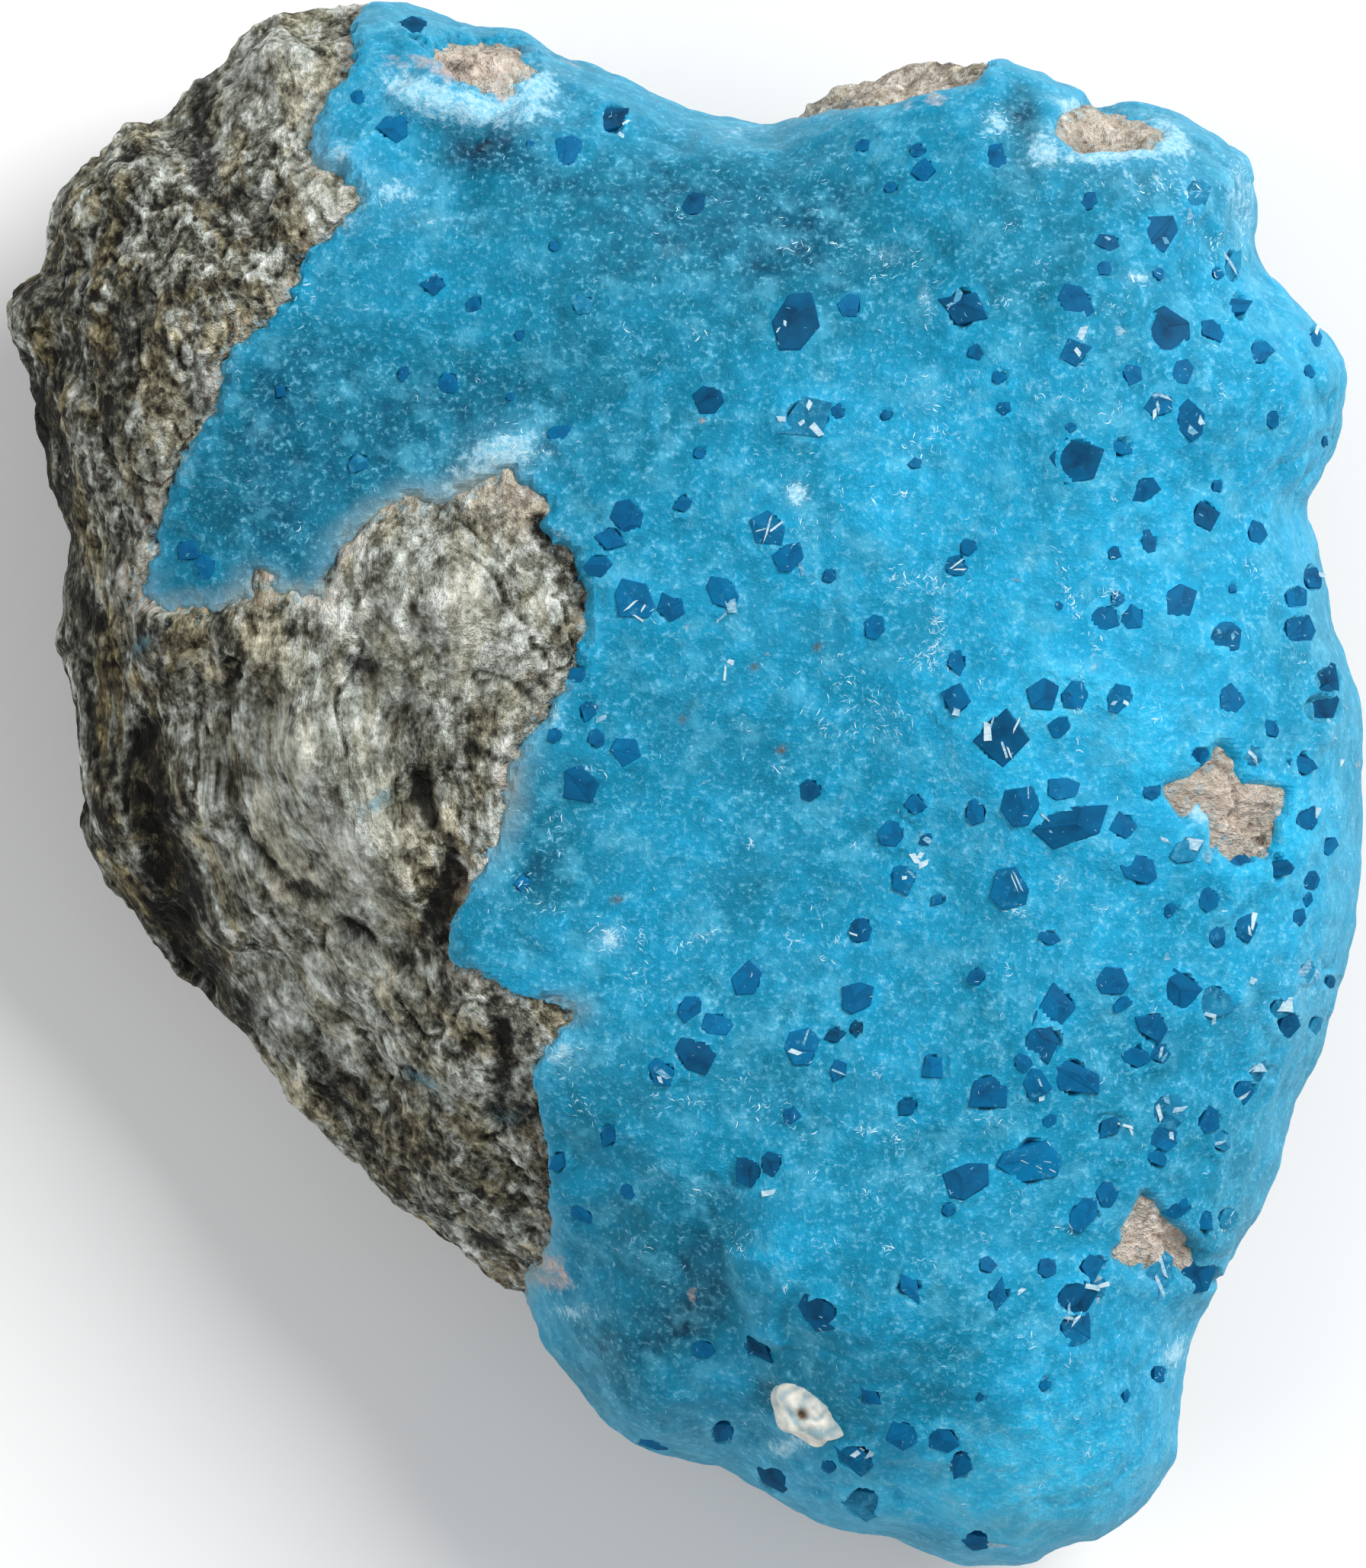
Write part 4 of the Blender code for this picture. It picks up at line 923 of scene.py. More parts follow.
def frost_and_glint_stroke(seed, cuts):
    """One tiny stroke of frost and painted glint, a unit long: a three-sided bar with narrowed ends, bent
    where it is cut.
    """
    draw = random.Random(seed)
    bpy.ops.object.select_all(action="DESELECT")
    bpy.ops.mesh.primitive_cylinder_add(vertices=3, radius=0.12, depth=1.0, rotation=(0, math.pi / 2, 0))
    item = bpy.context.active_object
    bpy.ops.object.transform_apply(rotation=True)
    bpy.ops.object.mode_set(mode="EDIT")
    for cut in range(cuts):
        bpy.ops.mesh.select_all(action="SELECT")
        along = (cut + 1) / (cuts + 1) - 0.5
        bpy.ops.mesh.bisect(plane_co=(along, 0, 0), plane_no=(1, 0, 0), threshold=1e-5)
    bpy.ops.object.mode_set(mode="OBJECT")
    bend = [draw.uniform(-0.22, 0.22) for _ in range(cuts + 2)]
    for vert in item.data.vertices:
        along = vert.co.x + 0.5
        narrow = 1.15 - 1.5 * abs(vert.co.x)
        vert.co.y = vert.co.y * narrow + bend[round(along * (cuts + 1))]
        vert.co.z *= narrow
    return item


def facet_plate(seed):
    """One thin flat plate, a unit across, with four uneven corners."""
    draw = random.Random(seed)
    bpy.ops.object.select_all(action="DESELECT")
    bpy.ops.mesh.primitive_cube_add(size=1.0)
    item = bpy.context.active_object
    lean = draw.uniform(-0.5, 0.5)
    moves = [(draw.uniform(-0.14, 0.14), draw.uniform(-0.14, 0.14)) for _ in range(4)]
    for vert in item.data.vertices:
        corner = 2 * (vert.co.x > 0) + (vert.co.y > 0)
        vert.co.x += lean * vert.co.y + moves[corner][0]
        vert.co.y += moves[corner][1]
        vert.co.z *= 0.4
    return item


def height_finder(*items):
    """A function that gives where a plumb line first meets the items, and which way they face there."""
    graph = bpy.context.evaluated_depsgraph_get()
    trees = [BVHTree.FromObject(item, graph) for item in items]

    def look(x, y):
        hits = [tree.ray_cast(Vector((x * MM, y * MM, 0.1)), Vector((0, 0, -1))) for tree in trees]
        found = [hit for hit in hits if hit[0] is not None]
        best = max(found, key=lambda hit: hit[0].z, default=(None, None))
        return best[0], best[1]

    return look


def level(look, x, y, width, height):
    """The mean place and facing of the crust round a crystal."""
    rim = [math.tau * step / 8 for step in range(8)]
    found = [look(x + 0.6 * width * math.cos(turn), y + 0.6 * height * math.sin(turn)) for turn in rim]
    found = [spot for spot in found if spot[0] is not None]
    if not found:
        return None, None
    top = sum((spot[0] for spot in found), Vector()) / len(found)
    way = sum((spot[1] for spot in found), Vector()).normalized()
    return top, way


def gathered(name, parts, shades, seed):
    """One mesh object from (mesh, matrix) copies, with a number for each copy, and one for each face."""
    draw = random.Random(seed)
    spots = []
    faces = []
    values = []
    rims = []
    for (mesh, matrix), shade in zip(parts, shades):
        first = len(spots)
        spots += [matrix @ vert.co for vert in mesh.vertices]
        faces += [[first + corner for corner in face.vertices] for face in mesh.polygons]
        values += [shade] * len(mesh.vertices)
        rims += [vert.co.xy.length for vert in mesh.vertices]
    mesh = bpy.data.meshes.new(name)
    mesh.from_pydata(spots, [], faces)
    item = bpy.data.objects.new(name, mesh)
    bpy.context.collection.objects.link(item)
    inside_box(item)
    keep_values(item, "shade", values)
    keep_values(item, "rim", rims)
    facets = mesh.attributes.new("facet", "FLOAT", "FACE")
    facets.data.foreach_set("value", [draw.random() for _ in faces])
    return item


def make_crystals(name, rows, variants, tilt, seed, look):
    """Crystals of one kind, set in the crust at their places, all but flush with it."""
    draw = random.Random(seed)
    parts = []
    shades = []
    for x, y, width, height, *turned in rows:
        top, way = level(look, x, y, width, height)
        if top is None:
            continue
        stand = (way + Vector((0, 0, 0.4))).to_track_quat("Z", "Y").to_matrix().to_4x4()
        lean = Vector((draw.uniform(-1, 1), draw.uniform(-1, 1), 0.1))
        stand = Matrix.Rotation(draw.uniform(-tilt, tilt), 4, lean) @ stand
        free = math.pi if max(width, height) < 1.25 * min(width, height) else 0.4
        turn = math.radians(turned[0]) if turned else draw.uniform(-free, free)
        deep = CRYSTAL_DEPTH * (width + height)
        rise = draw.uniform(0.04, 0.09) + CRYSTAL_RISE * (width + height) - CROWN * deep
        size = Matrix.Diagonal((width * CRYSTAL_SPREAD * MM, height * CRYSTAL_SPREAD * MM, deep * MM, 1))
        place = Matrix.Translation(top + way * rise * MM)
        parts.append((draw.choice(variants).data, place @ stand @ Matrix.Rotation(turn, 4, "Z") @ size))
        shades.append(draw.random())
    return gathered(name, parts, shades, seed)


# Painted glints: whitish plates and streaks on crystals where light glints off them: x, y, length, width and
# turn in degrees.
GLINTS = [
    (23.3, 26.3, 1.0, 0.5, -5), (23.1, 25.3, 0.5, 0.25, 10), (23.2, 24.6, 0.7, 0.1, -50),
    (27.7, 22.8, 0.5, 0.25, 70), (28.2, 22.7, 0.7, 0.22, 25), (27.8, 22.1, 0.6, 0.2, 15),
    (27.6, 21.7, 0.5, 0.25, 10), (29.7, 20.8, 1.0, 0.35, 65), (30.3, 21.3, 0.6, 0.3, 50),
    (25.5, 26.5, 0.7, 0.5, 80), (29.7, 33.4, 0.7, 0.5, 30), (28.3, 31.9, 0.45, 0.3, 0),
    (24.9, 32, 0.3, 0.15, 0), (16.1, 28.5, 0.9, 0.4, 45), (15.7, 28.1, 0.4, 0.2, 0),
    (7.4, 22.2, 0.5, 0.3, 60), (7.9, 20.7, 0.9, 0.35, 35), (5.8, 21.4, 0.5, 0.3, 40),
    (7, 21.2, 0.4, 0.2, 0), (6, 27, 0.3, 0.16, 80), (5.6, 26.6, 0.3, 0.12, 60), (-3.6, 38.1, 0.4, 0.3, 0),
    (-3.3, 38.9, 0.5, 0.15, 70), (2.9, 10.4, 0.8, 0.5, 50), (2.3, 9.8, 0.8, 0.14, 28),
    (-5.1, 4.6, 0.7, 0.18, 62), (-4.7, 3.9, 0.7, 0.28, 68), (6.9, 12.8, 1.0, 0.25, 78),
    (13.6, -4.3, 0.7, 0.35, 55), (14.1, -4.6, 0.6, 0.3, -60), (13.9, -4.1, 0.4, 0.25, 20),
    (13.4, -5.2, 0.6, 0.16, -55), (13, -5.4, 0.3, 0.18, -50), (14.3, -3.2, 0.5, 0.28, 60),
    (1.4, 0.2, 0.5, 0.14, -80), (2.8, 7.2, 0.4, 0.25, 10), (2.5, 6.6, 0.9, 0.12, -75),
    (10, -8.7, 0.5, 0.1, 40), (17.8, 3.2, 1.1, 0.38, -8), (18.1, 3.7, 0.6, 0.12, 20),
    (19.5, 3.5, 0.9, 0.12, -38), (18.8, 2.1, 1.1, 0.14, -42), (19.1, 1.9, 0.7, 0.1, -42),
    (16, 4.3, 0.42, 0.36, 0), (19.6, -5.6, 1.2, 0.1, -48), (19.4, -5.7, 0.9, 0.08, -48),
    (25.2, 4.8, 0.3, 0.24, 0), (25.9, 4.8, 0.35, 0.2, 80), (30.7, -4.2, 0.65, 0.42, -10),
    (29.8, -3.4, 1.0, 0.6, 60), (28.2, -3.2, 0.5, 0.25, 40), (33.4, -8, 1.0, 0.26, -12),
    (33.2, -8.5, 0.6, 0.14, 10), (33.3, 1.8, 0.9, 0.2, 50), (33.5, 1.4, 0.6, 0.12, 55),
    (32.2, 8.7, 0.35, 0.25, 0), (31.4, 9, 0.3, 0.2, 0), (36.4, -10.9, 1.6, 0.7, -32),
    (37.2, -11, 0.6, 0.4, 20), (35.2, -12.9, 1.1, 0.7, -60), (30.7, -13.4, 1.0, 0.2, -62),
    (31.1, -13.7, 0.5, 0.25, 30), (28.3, -10, 0.5, 0.3, 0), (33.3, -11.4, 0.6, 0.4, 80),
    (38.7, 1.3, 0.5, 0.35, -20), (37.9, 3.7, 0.35, 0.22, 80), (38.9, 4.7, 0.6, 0.14, 50),
    (38.3, 2.8, 0.5, 0.12, 70), (-1.1, -16.9, 0.8, 0.3, 62), (-1.3, -17.2, 0.4, 0.2, 0),
    (6.6, -15.6, 0.7, 0.28, 82), (7.2, -14.8, 0.9, 0.14, 62), (9.2, -16.8, 0.9, 0.1, 52),
    (5.1, -23.8, 0.85, 0.28, -78), (11.1, -39.1, 0.7, 0.42, 88), (10.3, -39.1, 0.7, 0.3, 80),
    (25.9, -19.9, 0.9, 0.16, -65), (26.2, -20.1, 0.7, 0.16, -65), (28.3, -18.2, 1.1, 0.3, 35),
    (28.9, -19, 1.2, 0.3, -65), (27.9, -19.1, 0.8, 0.25, 50), (28.6, -20.4, 0.8, 0.25, 15),
    (28, -15.6, 0.6, 0.18, 10), (28.2, -15.9, 0.6, 0.14, 10), (32.7, -18.4, 1.3, 0.2, 26),
    (33.6, -16.6, 1.2, 0.5, -22), (31.3, -21, 1.0, 0.2, -62), (20.9, -17.4, 0.5, 0.1, 60),
    (21, -18.3, 0.36, 0.26, 0), (20, -22, 0.45, 0.06, -60), (20.8, -22.3, 0.4, 0.06, -62),
    (21.3, -22, 0.45, 0.07, -60), (21.6, -22.5, 0.4, 0.06, -60), (19.9, -21.6, 0.35, 0.05, -62),
    (23.8, -29.3, 1.3, 0.28, -72), (24.5, -29.3, 0.9, 0.22, -55), (24.2, -28.9, 0.7, 0.25, 5),
    (24.3, -30, 0.7, 0.22, 15), (19.7, -29.6, 0.65, 0.3, -50), (22.4, -31.1, 1.1, 0.24, -50),
    (23, -31.3, 1.0, 0.18, -50), (22.6, -30.8, 0.9, 0.2, 15), (28.2, -28.3, 1.4, 0.2, 25),
    (28, -29.3, 1.1, 0.22, -20), (18.6, -44.6, 1.1, 0.4, 10), (-3, 10.5, 0.8, 0.14, 60),
    (-2.6, 9.8, 0.7, 0.1, -30), (-2.3, 10.3, 0.5, 0.1, 75), (5, 15, 1.3, 0.14, -62),
    (5.5, 15.1, 1.0, 0.12, 80), (4.6, 14.9, 0.6, 0.1, 60), (16, 12.9, 0.8, 0.1, -20),
    (16.2, 12.6, 0.7, 0.1, -60), (19.5, 12, 0.5, 0.2, 20), (21.2, -1.9, 0.6, 0.12, 55),
    (21.5, -2.7, 0.2, 0.14, 0), (20.2, -0.4, 0.8, 0.08, 0), (37.2, -1.6, 0.6, 0.4, -30),
    (37.5, 12.4, 0.8, 0.25, 70), (32.1, 30.8, 1.6, 0.2, -68), (37.3, 26.6, 1.3, 0.2, -70),
]


# Where frost strokes, partly painted glints, crowd on the crust: x, y, half width, half height, turn and
# number.
FLECK_CROWDS = [
    (12.4, 30.5, 2.3, 0.5, 0, 26), (11.3, 29.6, 0.5, 0.3, 30, 8), (14.4, 28, 0.3, 1.1, 12, 14),
    (13.3, 19.5, 0.9, 0.9, 0, 16), (14.8, 20.7, 0.9, 0.5, 0, 14), (7, 18.9, 0.8, 0.7, 0, 10),
    (6.6, 17, 0.55, 0.7, 30, 34), (7.5, 14.7, 1, 0.8, 0, 16), (9.2, 16.9, 0.3, 0.9, 0, 12),
    (11.2, 16.4, 0.3, 0.6, 0, 7), (12.8, 17, 0.35, 0.25, 0, 10), (7.8, 35.8, 0.9, 0.3, -30, 10),
    (6.7, 31.4, 0.8, 0.5, 0, 12), (9.4, 31.6, 0.7, 0.3, 0, 9), (14.6, 22.5, 1.6, 1, 0, 26),
    (16.9, 23.8, 0.6, 0.3, 0, 8), (19.1, 32.6, 0.7, 0.25, 0, 14), (18.4, 38.9, 0.8, 0.7, 0, 46),
    (18.8, 28.3, 0.9, 0.4, 20, 14), (-3, 26.4, 0.5, 0.8, 0, 10), (1, 26.6, 0.8, 0.7, 0, 12),
    (-0.3, 33.4, 0.4, 0.3, 0, 5), (2.3, 34.2, 0.6, 0.2, 0, 6), (-1.5, 32.6, 0.2, 0.4, 0, 5),
    (31.3, 32, 0.8, 0.35, 0, 18), (31, 30.8, 0.9, 0.7, 0, 18), (29.8, 33.4, 0.5, 0.4, 0, 14),
    (33, 34, 0.6, 2.2, 0, 70), (32.8, 36.6, 0.8, 0.9, 0, 44), (25.4, 28, 1, 0.5, 0, 16),
    (28.5, 35, 2.6, 0.7, 0, 70), (26.7, 29.7, 0.9, 0.3, 20, 22), (21, 30.6, 0.8, 0.2, 15, 8),
    (31.5, 22.6, 0.3, 0.8, 0, 12), (31.3, 25.8, 0.6, 0.15, 20, 5), (25.6, 22.1, 0.12, 0.6, 0, 5),
    (24.9, 21.4, 0.25, 0.35, 0, 6), (22, 23, 1.8, 0.9, 0, 26), (15.4, 22.7, 1.3, 0.7, 0, 18),
    (15.2, 20.3, 1.1, 0.4, 0, 16), (25.2, 16.6, 0.12, 0.6, 8, 7), (18.2, 14.8, 0.3, 0.3, 0, 6),
    (32.8, 15.7, 0.6, 0.3, 0, 8), (33.6, 23.6, 1.2, 1.2, 0, 14), (14.9, 9.2, 0.35, 1.5, 0, 64),
    (14.3, 7.3, 1.3, 0.6, 0, 56), (14.4, 11.8, 1.5, 0.7, 0, 40), (12.7, 12.1, 0.8, 0.5, 0, 16),
    (9.5, 5.5, 1.8, 1.7, 0, 46), (12, 3.9, 1.7, 1.3, 0, 46), (8.4, 3.2, 0.3, 0.8, 0, 9),
    (10.2, 3, 0.15, 0.6, 0, 6), (1, -8.9, 0.9, 0.25, 25, 18), (-2.3, -9, 0.3, 1.1, 0, 16),
    (-4.3, -8.9, 0.9, 0.7, 0, 34), (-2.8, -11, 0.8, 0.7, 0, 16), (-2.3, -12, 0.25, 0.6, 0, 10),
    (-0.6, -11.3, 0.35, 0.2, 0, 6), (8.1, -7.5, 0.25, 0.7, -10, 14), (6.6, -9, 0.6, 0.25, 0, 10),
    (8.9, -9.1, 0.5, 0.2, 30, 9), (2.3, -10.6, 0.2, 0.6, 0, 7), (8.4, -10.2, 0.5, 0.3, 0, 7),
    (10.5, -3.7, 0.7, 0.2, -30, 9), (4, -3.6, 0.2, 0.5, -20, 8), (-8, -7.2, 0.8, 0.4, 0, 14),
    (-7.5, -3, 0.5, 1.2, 0, 16), (-9.5, -5.4, 0.9, 0.9, 0, 16), (-5.2, 0.9, 0.9, 0.2, -20, 14),
    (-7.4, 4.2, 0.4, 0.3, 0, 6), (0.6, 2.1, 0.2, 0.4, 0, 5), (5.7, 1, 0.4, 0.12, 0, 5),
    (22.6, 11.2, 0.4, 1.8, 12, 46), (25.3, 11.3, 0.8, 0.6, 0, 34), (23.3, 6.2, 0.1, 1.1, 0, 12),
    (24.2, 8, 0.3, 0.7, 0, 10), (23.1, 3, 0.12, 0.8, 0, 8), (33.4, 12.8, 0.3, 0.8, 25, 14),
    (34.5, 11, 0.3, 0.8, 40, 10), (36.2, 7.6, 0.4, 0.5, 0, 10), (27.6, 5.4, 0.25, 1.6, 0, 12),
    (19.4, -7.4, 0.6, 0.25, 0, 12), (22, -5.7, 0.25, 0.4, 0, 10), (22.3, -9.1, 0.5, 0.15, 30, 7),
    (24.2, -7.2, 0.8, 0.15, 0, 7), (35.1, -8.7, 0.3, 0.25, 0, 7), (31.6, -6.7, 0.1, 0.6, 8, 6),
    (27.5, -13, 0.15, 0.6, 0, 7), (19, -10.8, 0.1, 0.4, 0, 5), (17.5, 5.9, 0.3, 0.3, 0, 7),
    (39, -4, 0.5, 1.5, 0, 16), (38.4, -2, 0.4, 1, 0, 10), (-7, -16, 1.1, 0.8, 0, 30),
    (0, -18.6, 1.8, 0.7, 0, 26), (4.8, -19.3, 1.9, 0.8, 0, 36), (10.9, -20.2, 0.8, 0.2, 0, 20),
    (12.7, -21, 0.5, 0.5, 0, 9), (7, -20.6, 0.6, 0.3, 0, 9), (11.3, -16.7, 0.5, 0.5, 0, 14),
    (3.7, -17.3, 0.4, 0.6, 0, 14), (-6.3, -18.8, 0.9, 0.7, 0, 16), (0.8, -23.8, 0.5, 0.4, 0, 9),
    (10.7, -23.8, 0.4, 0.4, 0, 9), (3.1, -27, 0.8, 1.1, 0, 24), (-2.5, -27, 1.5, 0.8, 0, 18),
    (8.4, -26.6, 0.7, 0.7, 0, 8), (11.8, -27, 0.4, 0.4, 0, 10), (-6.5, -31, 1.4, 0.4, 0, 26),
    (10, -28.8, 0.12, 0.5, 0, 6), (6.1, -29.3, 0.15, 0.4, 0, 5), (7.2, -22.8, 0.6, 0.8, 30, 9),
    (-1.8, -22.4, 1, 0.1, 0, 6), (13, -20.5, 1.1, 1.1, 0, 18), (17.6, -19.5, 1.5, 0.4, 0, 14),
    (19.4, -24, 0.5, 0.8, 0, 16), (22.5, -26, 1.2, 0.3, -15, 14), (17.8, -26.5, 0.35, 0.4, 0, 10),
    (14, -28, 0.8, 0.5, 0, 12), (20.2, -32.3, 0.7, 0.6, 0, 14), (24.8, -17.3, 0.4, 0.6, 0, 8),
    (29, -33.3, 1.1, 0.8, 40, 56), (22.6, -34, 0.12, 0.6, -20, 7), (28.8, -36.8, 0.3, 0.9, 0, 12),
    (21.6, -37, 0.6, 0.3, -30, 10), (24, -38.6, 0.7, 1.2, 0, 16), (32.4, -26, 0.9, 0.6, 20, 26),
    (21, -41, 0.5, 0.5, -30, 8), (16, -33.4, 0.6, 0.3, 0, 7), (16.8, -42, 1, 1, 0, 12),
    (-17.3, 34.6, 1.2, 0.6, 0, 18), (-15, 32.9, 0.5, 0.2, 0, 7), (-22, 28.4, 1, 0.9, 0, 14),
    (-10.6, 20, 2, 1, 10, 34), (-8.3, 19, 0.8, 0.6, 0, 14), (-22.5, 14.6, 0.6, 0.5, 30, 8),
    (-12, 39.6, 2.4, 0.7, 0, 40),
]


def crowded_flecks(seed):
    """Frost strokes, partly painted glints, in their crowds, as (x, y, turn, length)."""
    draw = random.Random(seed)
    found = []
    for x, y, half_width, half_height, turn, number in FLECK_CROWDS:
        angle = math.radians(turn)
        for _ in range(round(CROWDING * number)):
            across = draw.gauss(0, 0.62) * half_width
            along = draw.gauss(0, 0.62) * half_height
            spot_x = x + across * math.cos(angle) - along * math.sin(angle)
            spot_y = y + across * math.sin(angle) + along * math.cos(angle)
            lies = angle if half_width > half_height else angle + math.pi / 2
            found.append((spot_x, spot_y, lies + draw.gauss(0, 0.8), 0.12 + 0.4 * draw.random() ** 2.2))
    return found


def scattered_flecks(count, seed):
    """Smaller frost strokes, partly painted glints, all over the crust, as (x, y, turn, length), some strung
    along sinuous lines.
    """
    draw = random.Random(seed)
    found = []
    while len(found) < count:
        x, y = draw.uniform(-33, 40), draw.uniform(-46, 46)
        line = noise.noise(Vector((x / 4.4, y / 4.4, 3.3)))
        slope_x = noise.noise(Vector((x / 4.4 + 0.05, y / 4.4, 3.3))) - line
        slope_y = noise.noise(Vector((x / 4.4, y / 4.4 + 0.05, 3.3))) - line
        crowd = noise.noise(Vector((x / 8, y / 8, 8.1))) + 0.012 * (x - 4)
        chance = 0.1 + 0.6 * math.exp(-((line / 0.04) ** 2)) * min(max(0.4 + 2 * crowd, 0.05), 1)
        chance += 0.9 * max(noise.noise(Vector((x / 1.5, y / 1.5, 5.5))), 0) ** 2
        if draw.random() < chance:
            turn = math.atan2(slope_x, -slope_y) + draw.gauss(0, 0.9)
            found.append((x, y, turn, 0.07 + 0.27 * draw.random() ** 2.6))
    return found


def make_flecks(name, rows, variants, seed, look):
    """Strokes of frost and painted glints laid on the crust and its crystals."""
    draw = random.Random(seed)
    parts = []
    shades = []
    for x, y, turn, length in rows:
        top, way = look(x, y)
        if top is None or way.z < 0.2:
            continue
        stand = way.to_track_quat("Z", "Y").to_matrix().to_4x4()
        width = length * draw.uniform(0.3, 0.8) + 0.03
        size = Matrix.Diagonal((length * MM, width * MM, (0.04 + 0.25 * width) * MM, 1))
        place = Matrix.Translation(top) @ stand @ Matrix.Rotation(turn, 4, "Z")
        parts.append((draw.choice(variants).data, place @ size))
        # Longer strokes tend to be whiter, as painted glints.
        shades.append(min(1.0, draw.random() * (0.5 + 1.6 * length)))
    return gathered(name, parts, shades, seed)


def make_glints(name, rows, variants, seed, look):
    """Painted glints: flat whitish plates laid on the crystals."""
    draw = random.Random(seed)
    parts = []
    for x, y, length, width, turn in rows:
        top, way = look(x, y)
        if top is None:
            continue
        stand = (way + Vector((0, 0, 1.5))).to_track_quat("Z", "Y").to_matrix().to_4x4()
        size = Matrix.Diagonal((length * MM, width * MM, 0.1 * MM, 1))
        turn = Matrix.Rotation(math.radians(turn), 4, "Z")
        place = Matrix.Translation(top + way * 0.01 * MM) @ stand @ turn
        parts.append((draw.choice(variants).data, place @ size))
    return gathered(name, parts, [draw.random() for _ in parts], seed)


def make_nodule(look):
    """The white ringed nodule near the lower edge: a squashed ball with rings and one brown pit."""
    bpy.ops.object.select_all(action="DESELECT")
    bpy.ops.mesh.primitive_uv_sphere_add(segments=64, ring_count=48, radius=1.0)
    item = bpy.context.active_object
    item.name = "ringed_nodule"
    middle = Vector((7.7, -36.5))
    top, _ = look(*middle)
    half_width, half_height, half_depth = 2.2, 2.0, 1.0
    pit_place = Vector((-0.35, -0.2))
    radii = []
    pits = []
    for vert in item.data.vertices:
        flat = Vector((vert.co.x, vert.co.y))
        far = flat.length if vert.co.z > 0 else 1.0
        ring = math.sin(far * 15 + 2.6 * noise.noise(vert.co * 1.4))
        pit = math.exp(-(((flat - pit_place).length / 0.2) ** 2)) if vert.co.z > 0 else 0
        rise = 1 + 0.035 * ring + 0.26 * noise.noise(vert.co * 2.6) + 0.1 * noise.noise(vert.co * 7)
        rise -= 0.7 * pit
        wide = 1 + 0.4 * noise.noise(vert.co * 1.3 + Vector((5, 5, 5)))
        flat *= wide
        vert.co = Vector((flat.x * half_width, flat.y * half_height, vert.co.z * half_depth * rise)) * MM
        vert.co += Vector((middle.x * MM, middle.y * MM, top.z - 0.12 * MM))
        radii.append(0.5 + 0.5 * ring)
        pits.append(pit)
    keep_values(item, "ring", radii)
    keep_values(item, "pit", pits)
    bpy.ops.object.shade_smooth()
    return item


def put(tree, kind, values=None, **settings):
    """Adds a node. Values go by socket name; a socket as a value is linked."""
    item = tree.nodes.new(kind)
    for name, value in settings.items():
        setattr(item, name, value)
    for name, value in (values or {}).items():
        socket = item.inputs[name]
        if isinstance(value, bpy.types.NodeSocket):
            tree.links.new(value, socket)
        else:
            socket.default_value = value
    return item


def tuned(colour):
    """A colour given as 0 to 255 screen values, for a material."""
    linear = [(part / 255 + 0.055) ** 2.4 / 1.055**2.4 if part > 10 else part / 3294.6 for part in colour]
    return (*linear, 1)


def new_material(name):
    material = bpy.data.materials.new(name)
    material.use_nodes = True
    tree = material.node_tree
    return material, tree, tree.nodes["Principled BSDF"]


def attribute(tree, name, output="Fac"):
    return put(tree, "ShaderNodeAttribute", attribute_name=name).outputs[output]


def object_place(tree, scale=1000.0):
    """Object coordinates in millimetres."""
    coords = put(tree, "ShaderNodeTexCoord").outputs["Object"]
    return put(tree, "ShaderNodeVectorMath", {0: coords, "Scale": scale}, operation="SCALE").outputs[0]


def stretched(tree, vector, factors):
    """A place multiplied by a factor for each axis."""
    return put(tree, "ShaderNodeVectorMath", {0: vector, 1: factors}, operation="MULTIPLY").outputs[0]


def between(tree, value, low, high, out_low=0.0, out_high=1.0):
    values = {"Value": value, "From Min": low, "From Max": high, "To Min": out_low, "To Max": out_high}
    return put(tree, "ShaderNodeMapRange", values).outputs["Result"]


def maths(tree, operation, first, second=0.0, clamp=False):
    item = put(tree, "ShaderNodeMath", {0: first, 1: second}, operation=operation)
    item.use_clamp = clamp
    return item.outputs[0]


def mixed(tree, share, first, second, blend="MIX"):
    item = tree.nodes.new("ShaderNodeMix")
    item.data_type = "RGBA"
    item.blend_type = blend
    for socket, value in ((item.inputs[0], share), (item.inputs[6], first), (item.inputs[7], second)):
        if isinstance(value, bpy.types.NodeSocket):
            tree.links.new(value, socket)
        else:
            socket.default_value = value
    return item.outputs[2]


def ramp(tree, value, stops):
    item = put(tree, "ShaderNodeValToRGB", {"Fac": value})
    stretch = item.color_ramp.elements
    while len(stretch) < len(stops):
        stretch.new(0.5)
    for element, (place, colour) in zip(stretch, stops):
        element.position = place
        element.color = tuned(colour)
    return item.outputs["Color"]


def new_group(name, inputs, output):
    """A shader node group with named inputs, as (name, kind, value), and one named output."""
    tree = bpy.data.node_groups.new(name, "ShaderNodeTree")
    for title, kind, value in inputs:
        socket = tree.interface.new_socket(title, in_out="INPUT", socket_type="NodeSocket" + kind)
        if value is not None:
            socket.default_value = value
    tree.interface.new_socket(output, in_out="OUTPUT", socket_type="NodeSocketFloat")
    return tree, tree.nodes.new("NodeGroupInput").outputs, tree.nodes.new("NodeGroupOutput").inputs


def make_mottle():
    """Cloudy mottling from about -1 to 1: broad clouds with finer ones in them."""
    inputs = (("Place", "Vector", None), ("Size", "Float", 2.0), ("Roughness", "Float", 0.6))
    tree, given, result = new_group("mottle", inputs, "Clouds")
    scale = maths(tree, "DIVIDE", 1.0, given["Size"])
    values = {"Vector": given["Place"], "Scale": scale, "Detail": 3.0, "Roughness": given["Roughness"]}
    clouds = put(tree, "ShaderNodeTexNoise", values).outputs["Fac"]
    tree.links.new(between(tree, clouds, 0.3, 0.7, -1.0, 1.0), result["Clouds"])
    return tree


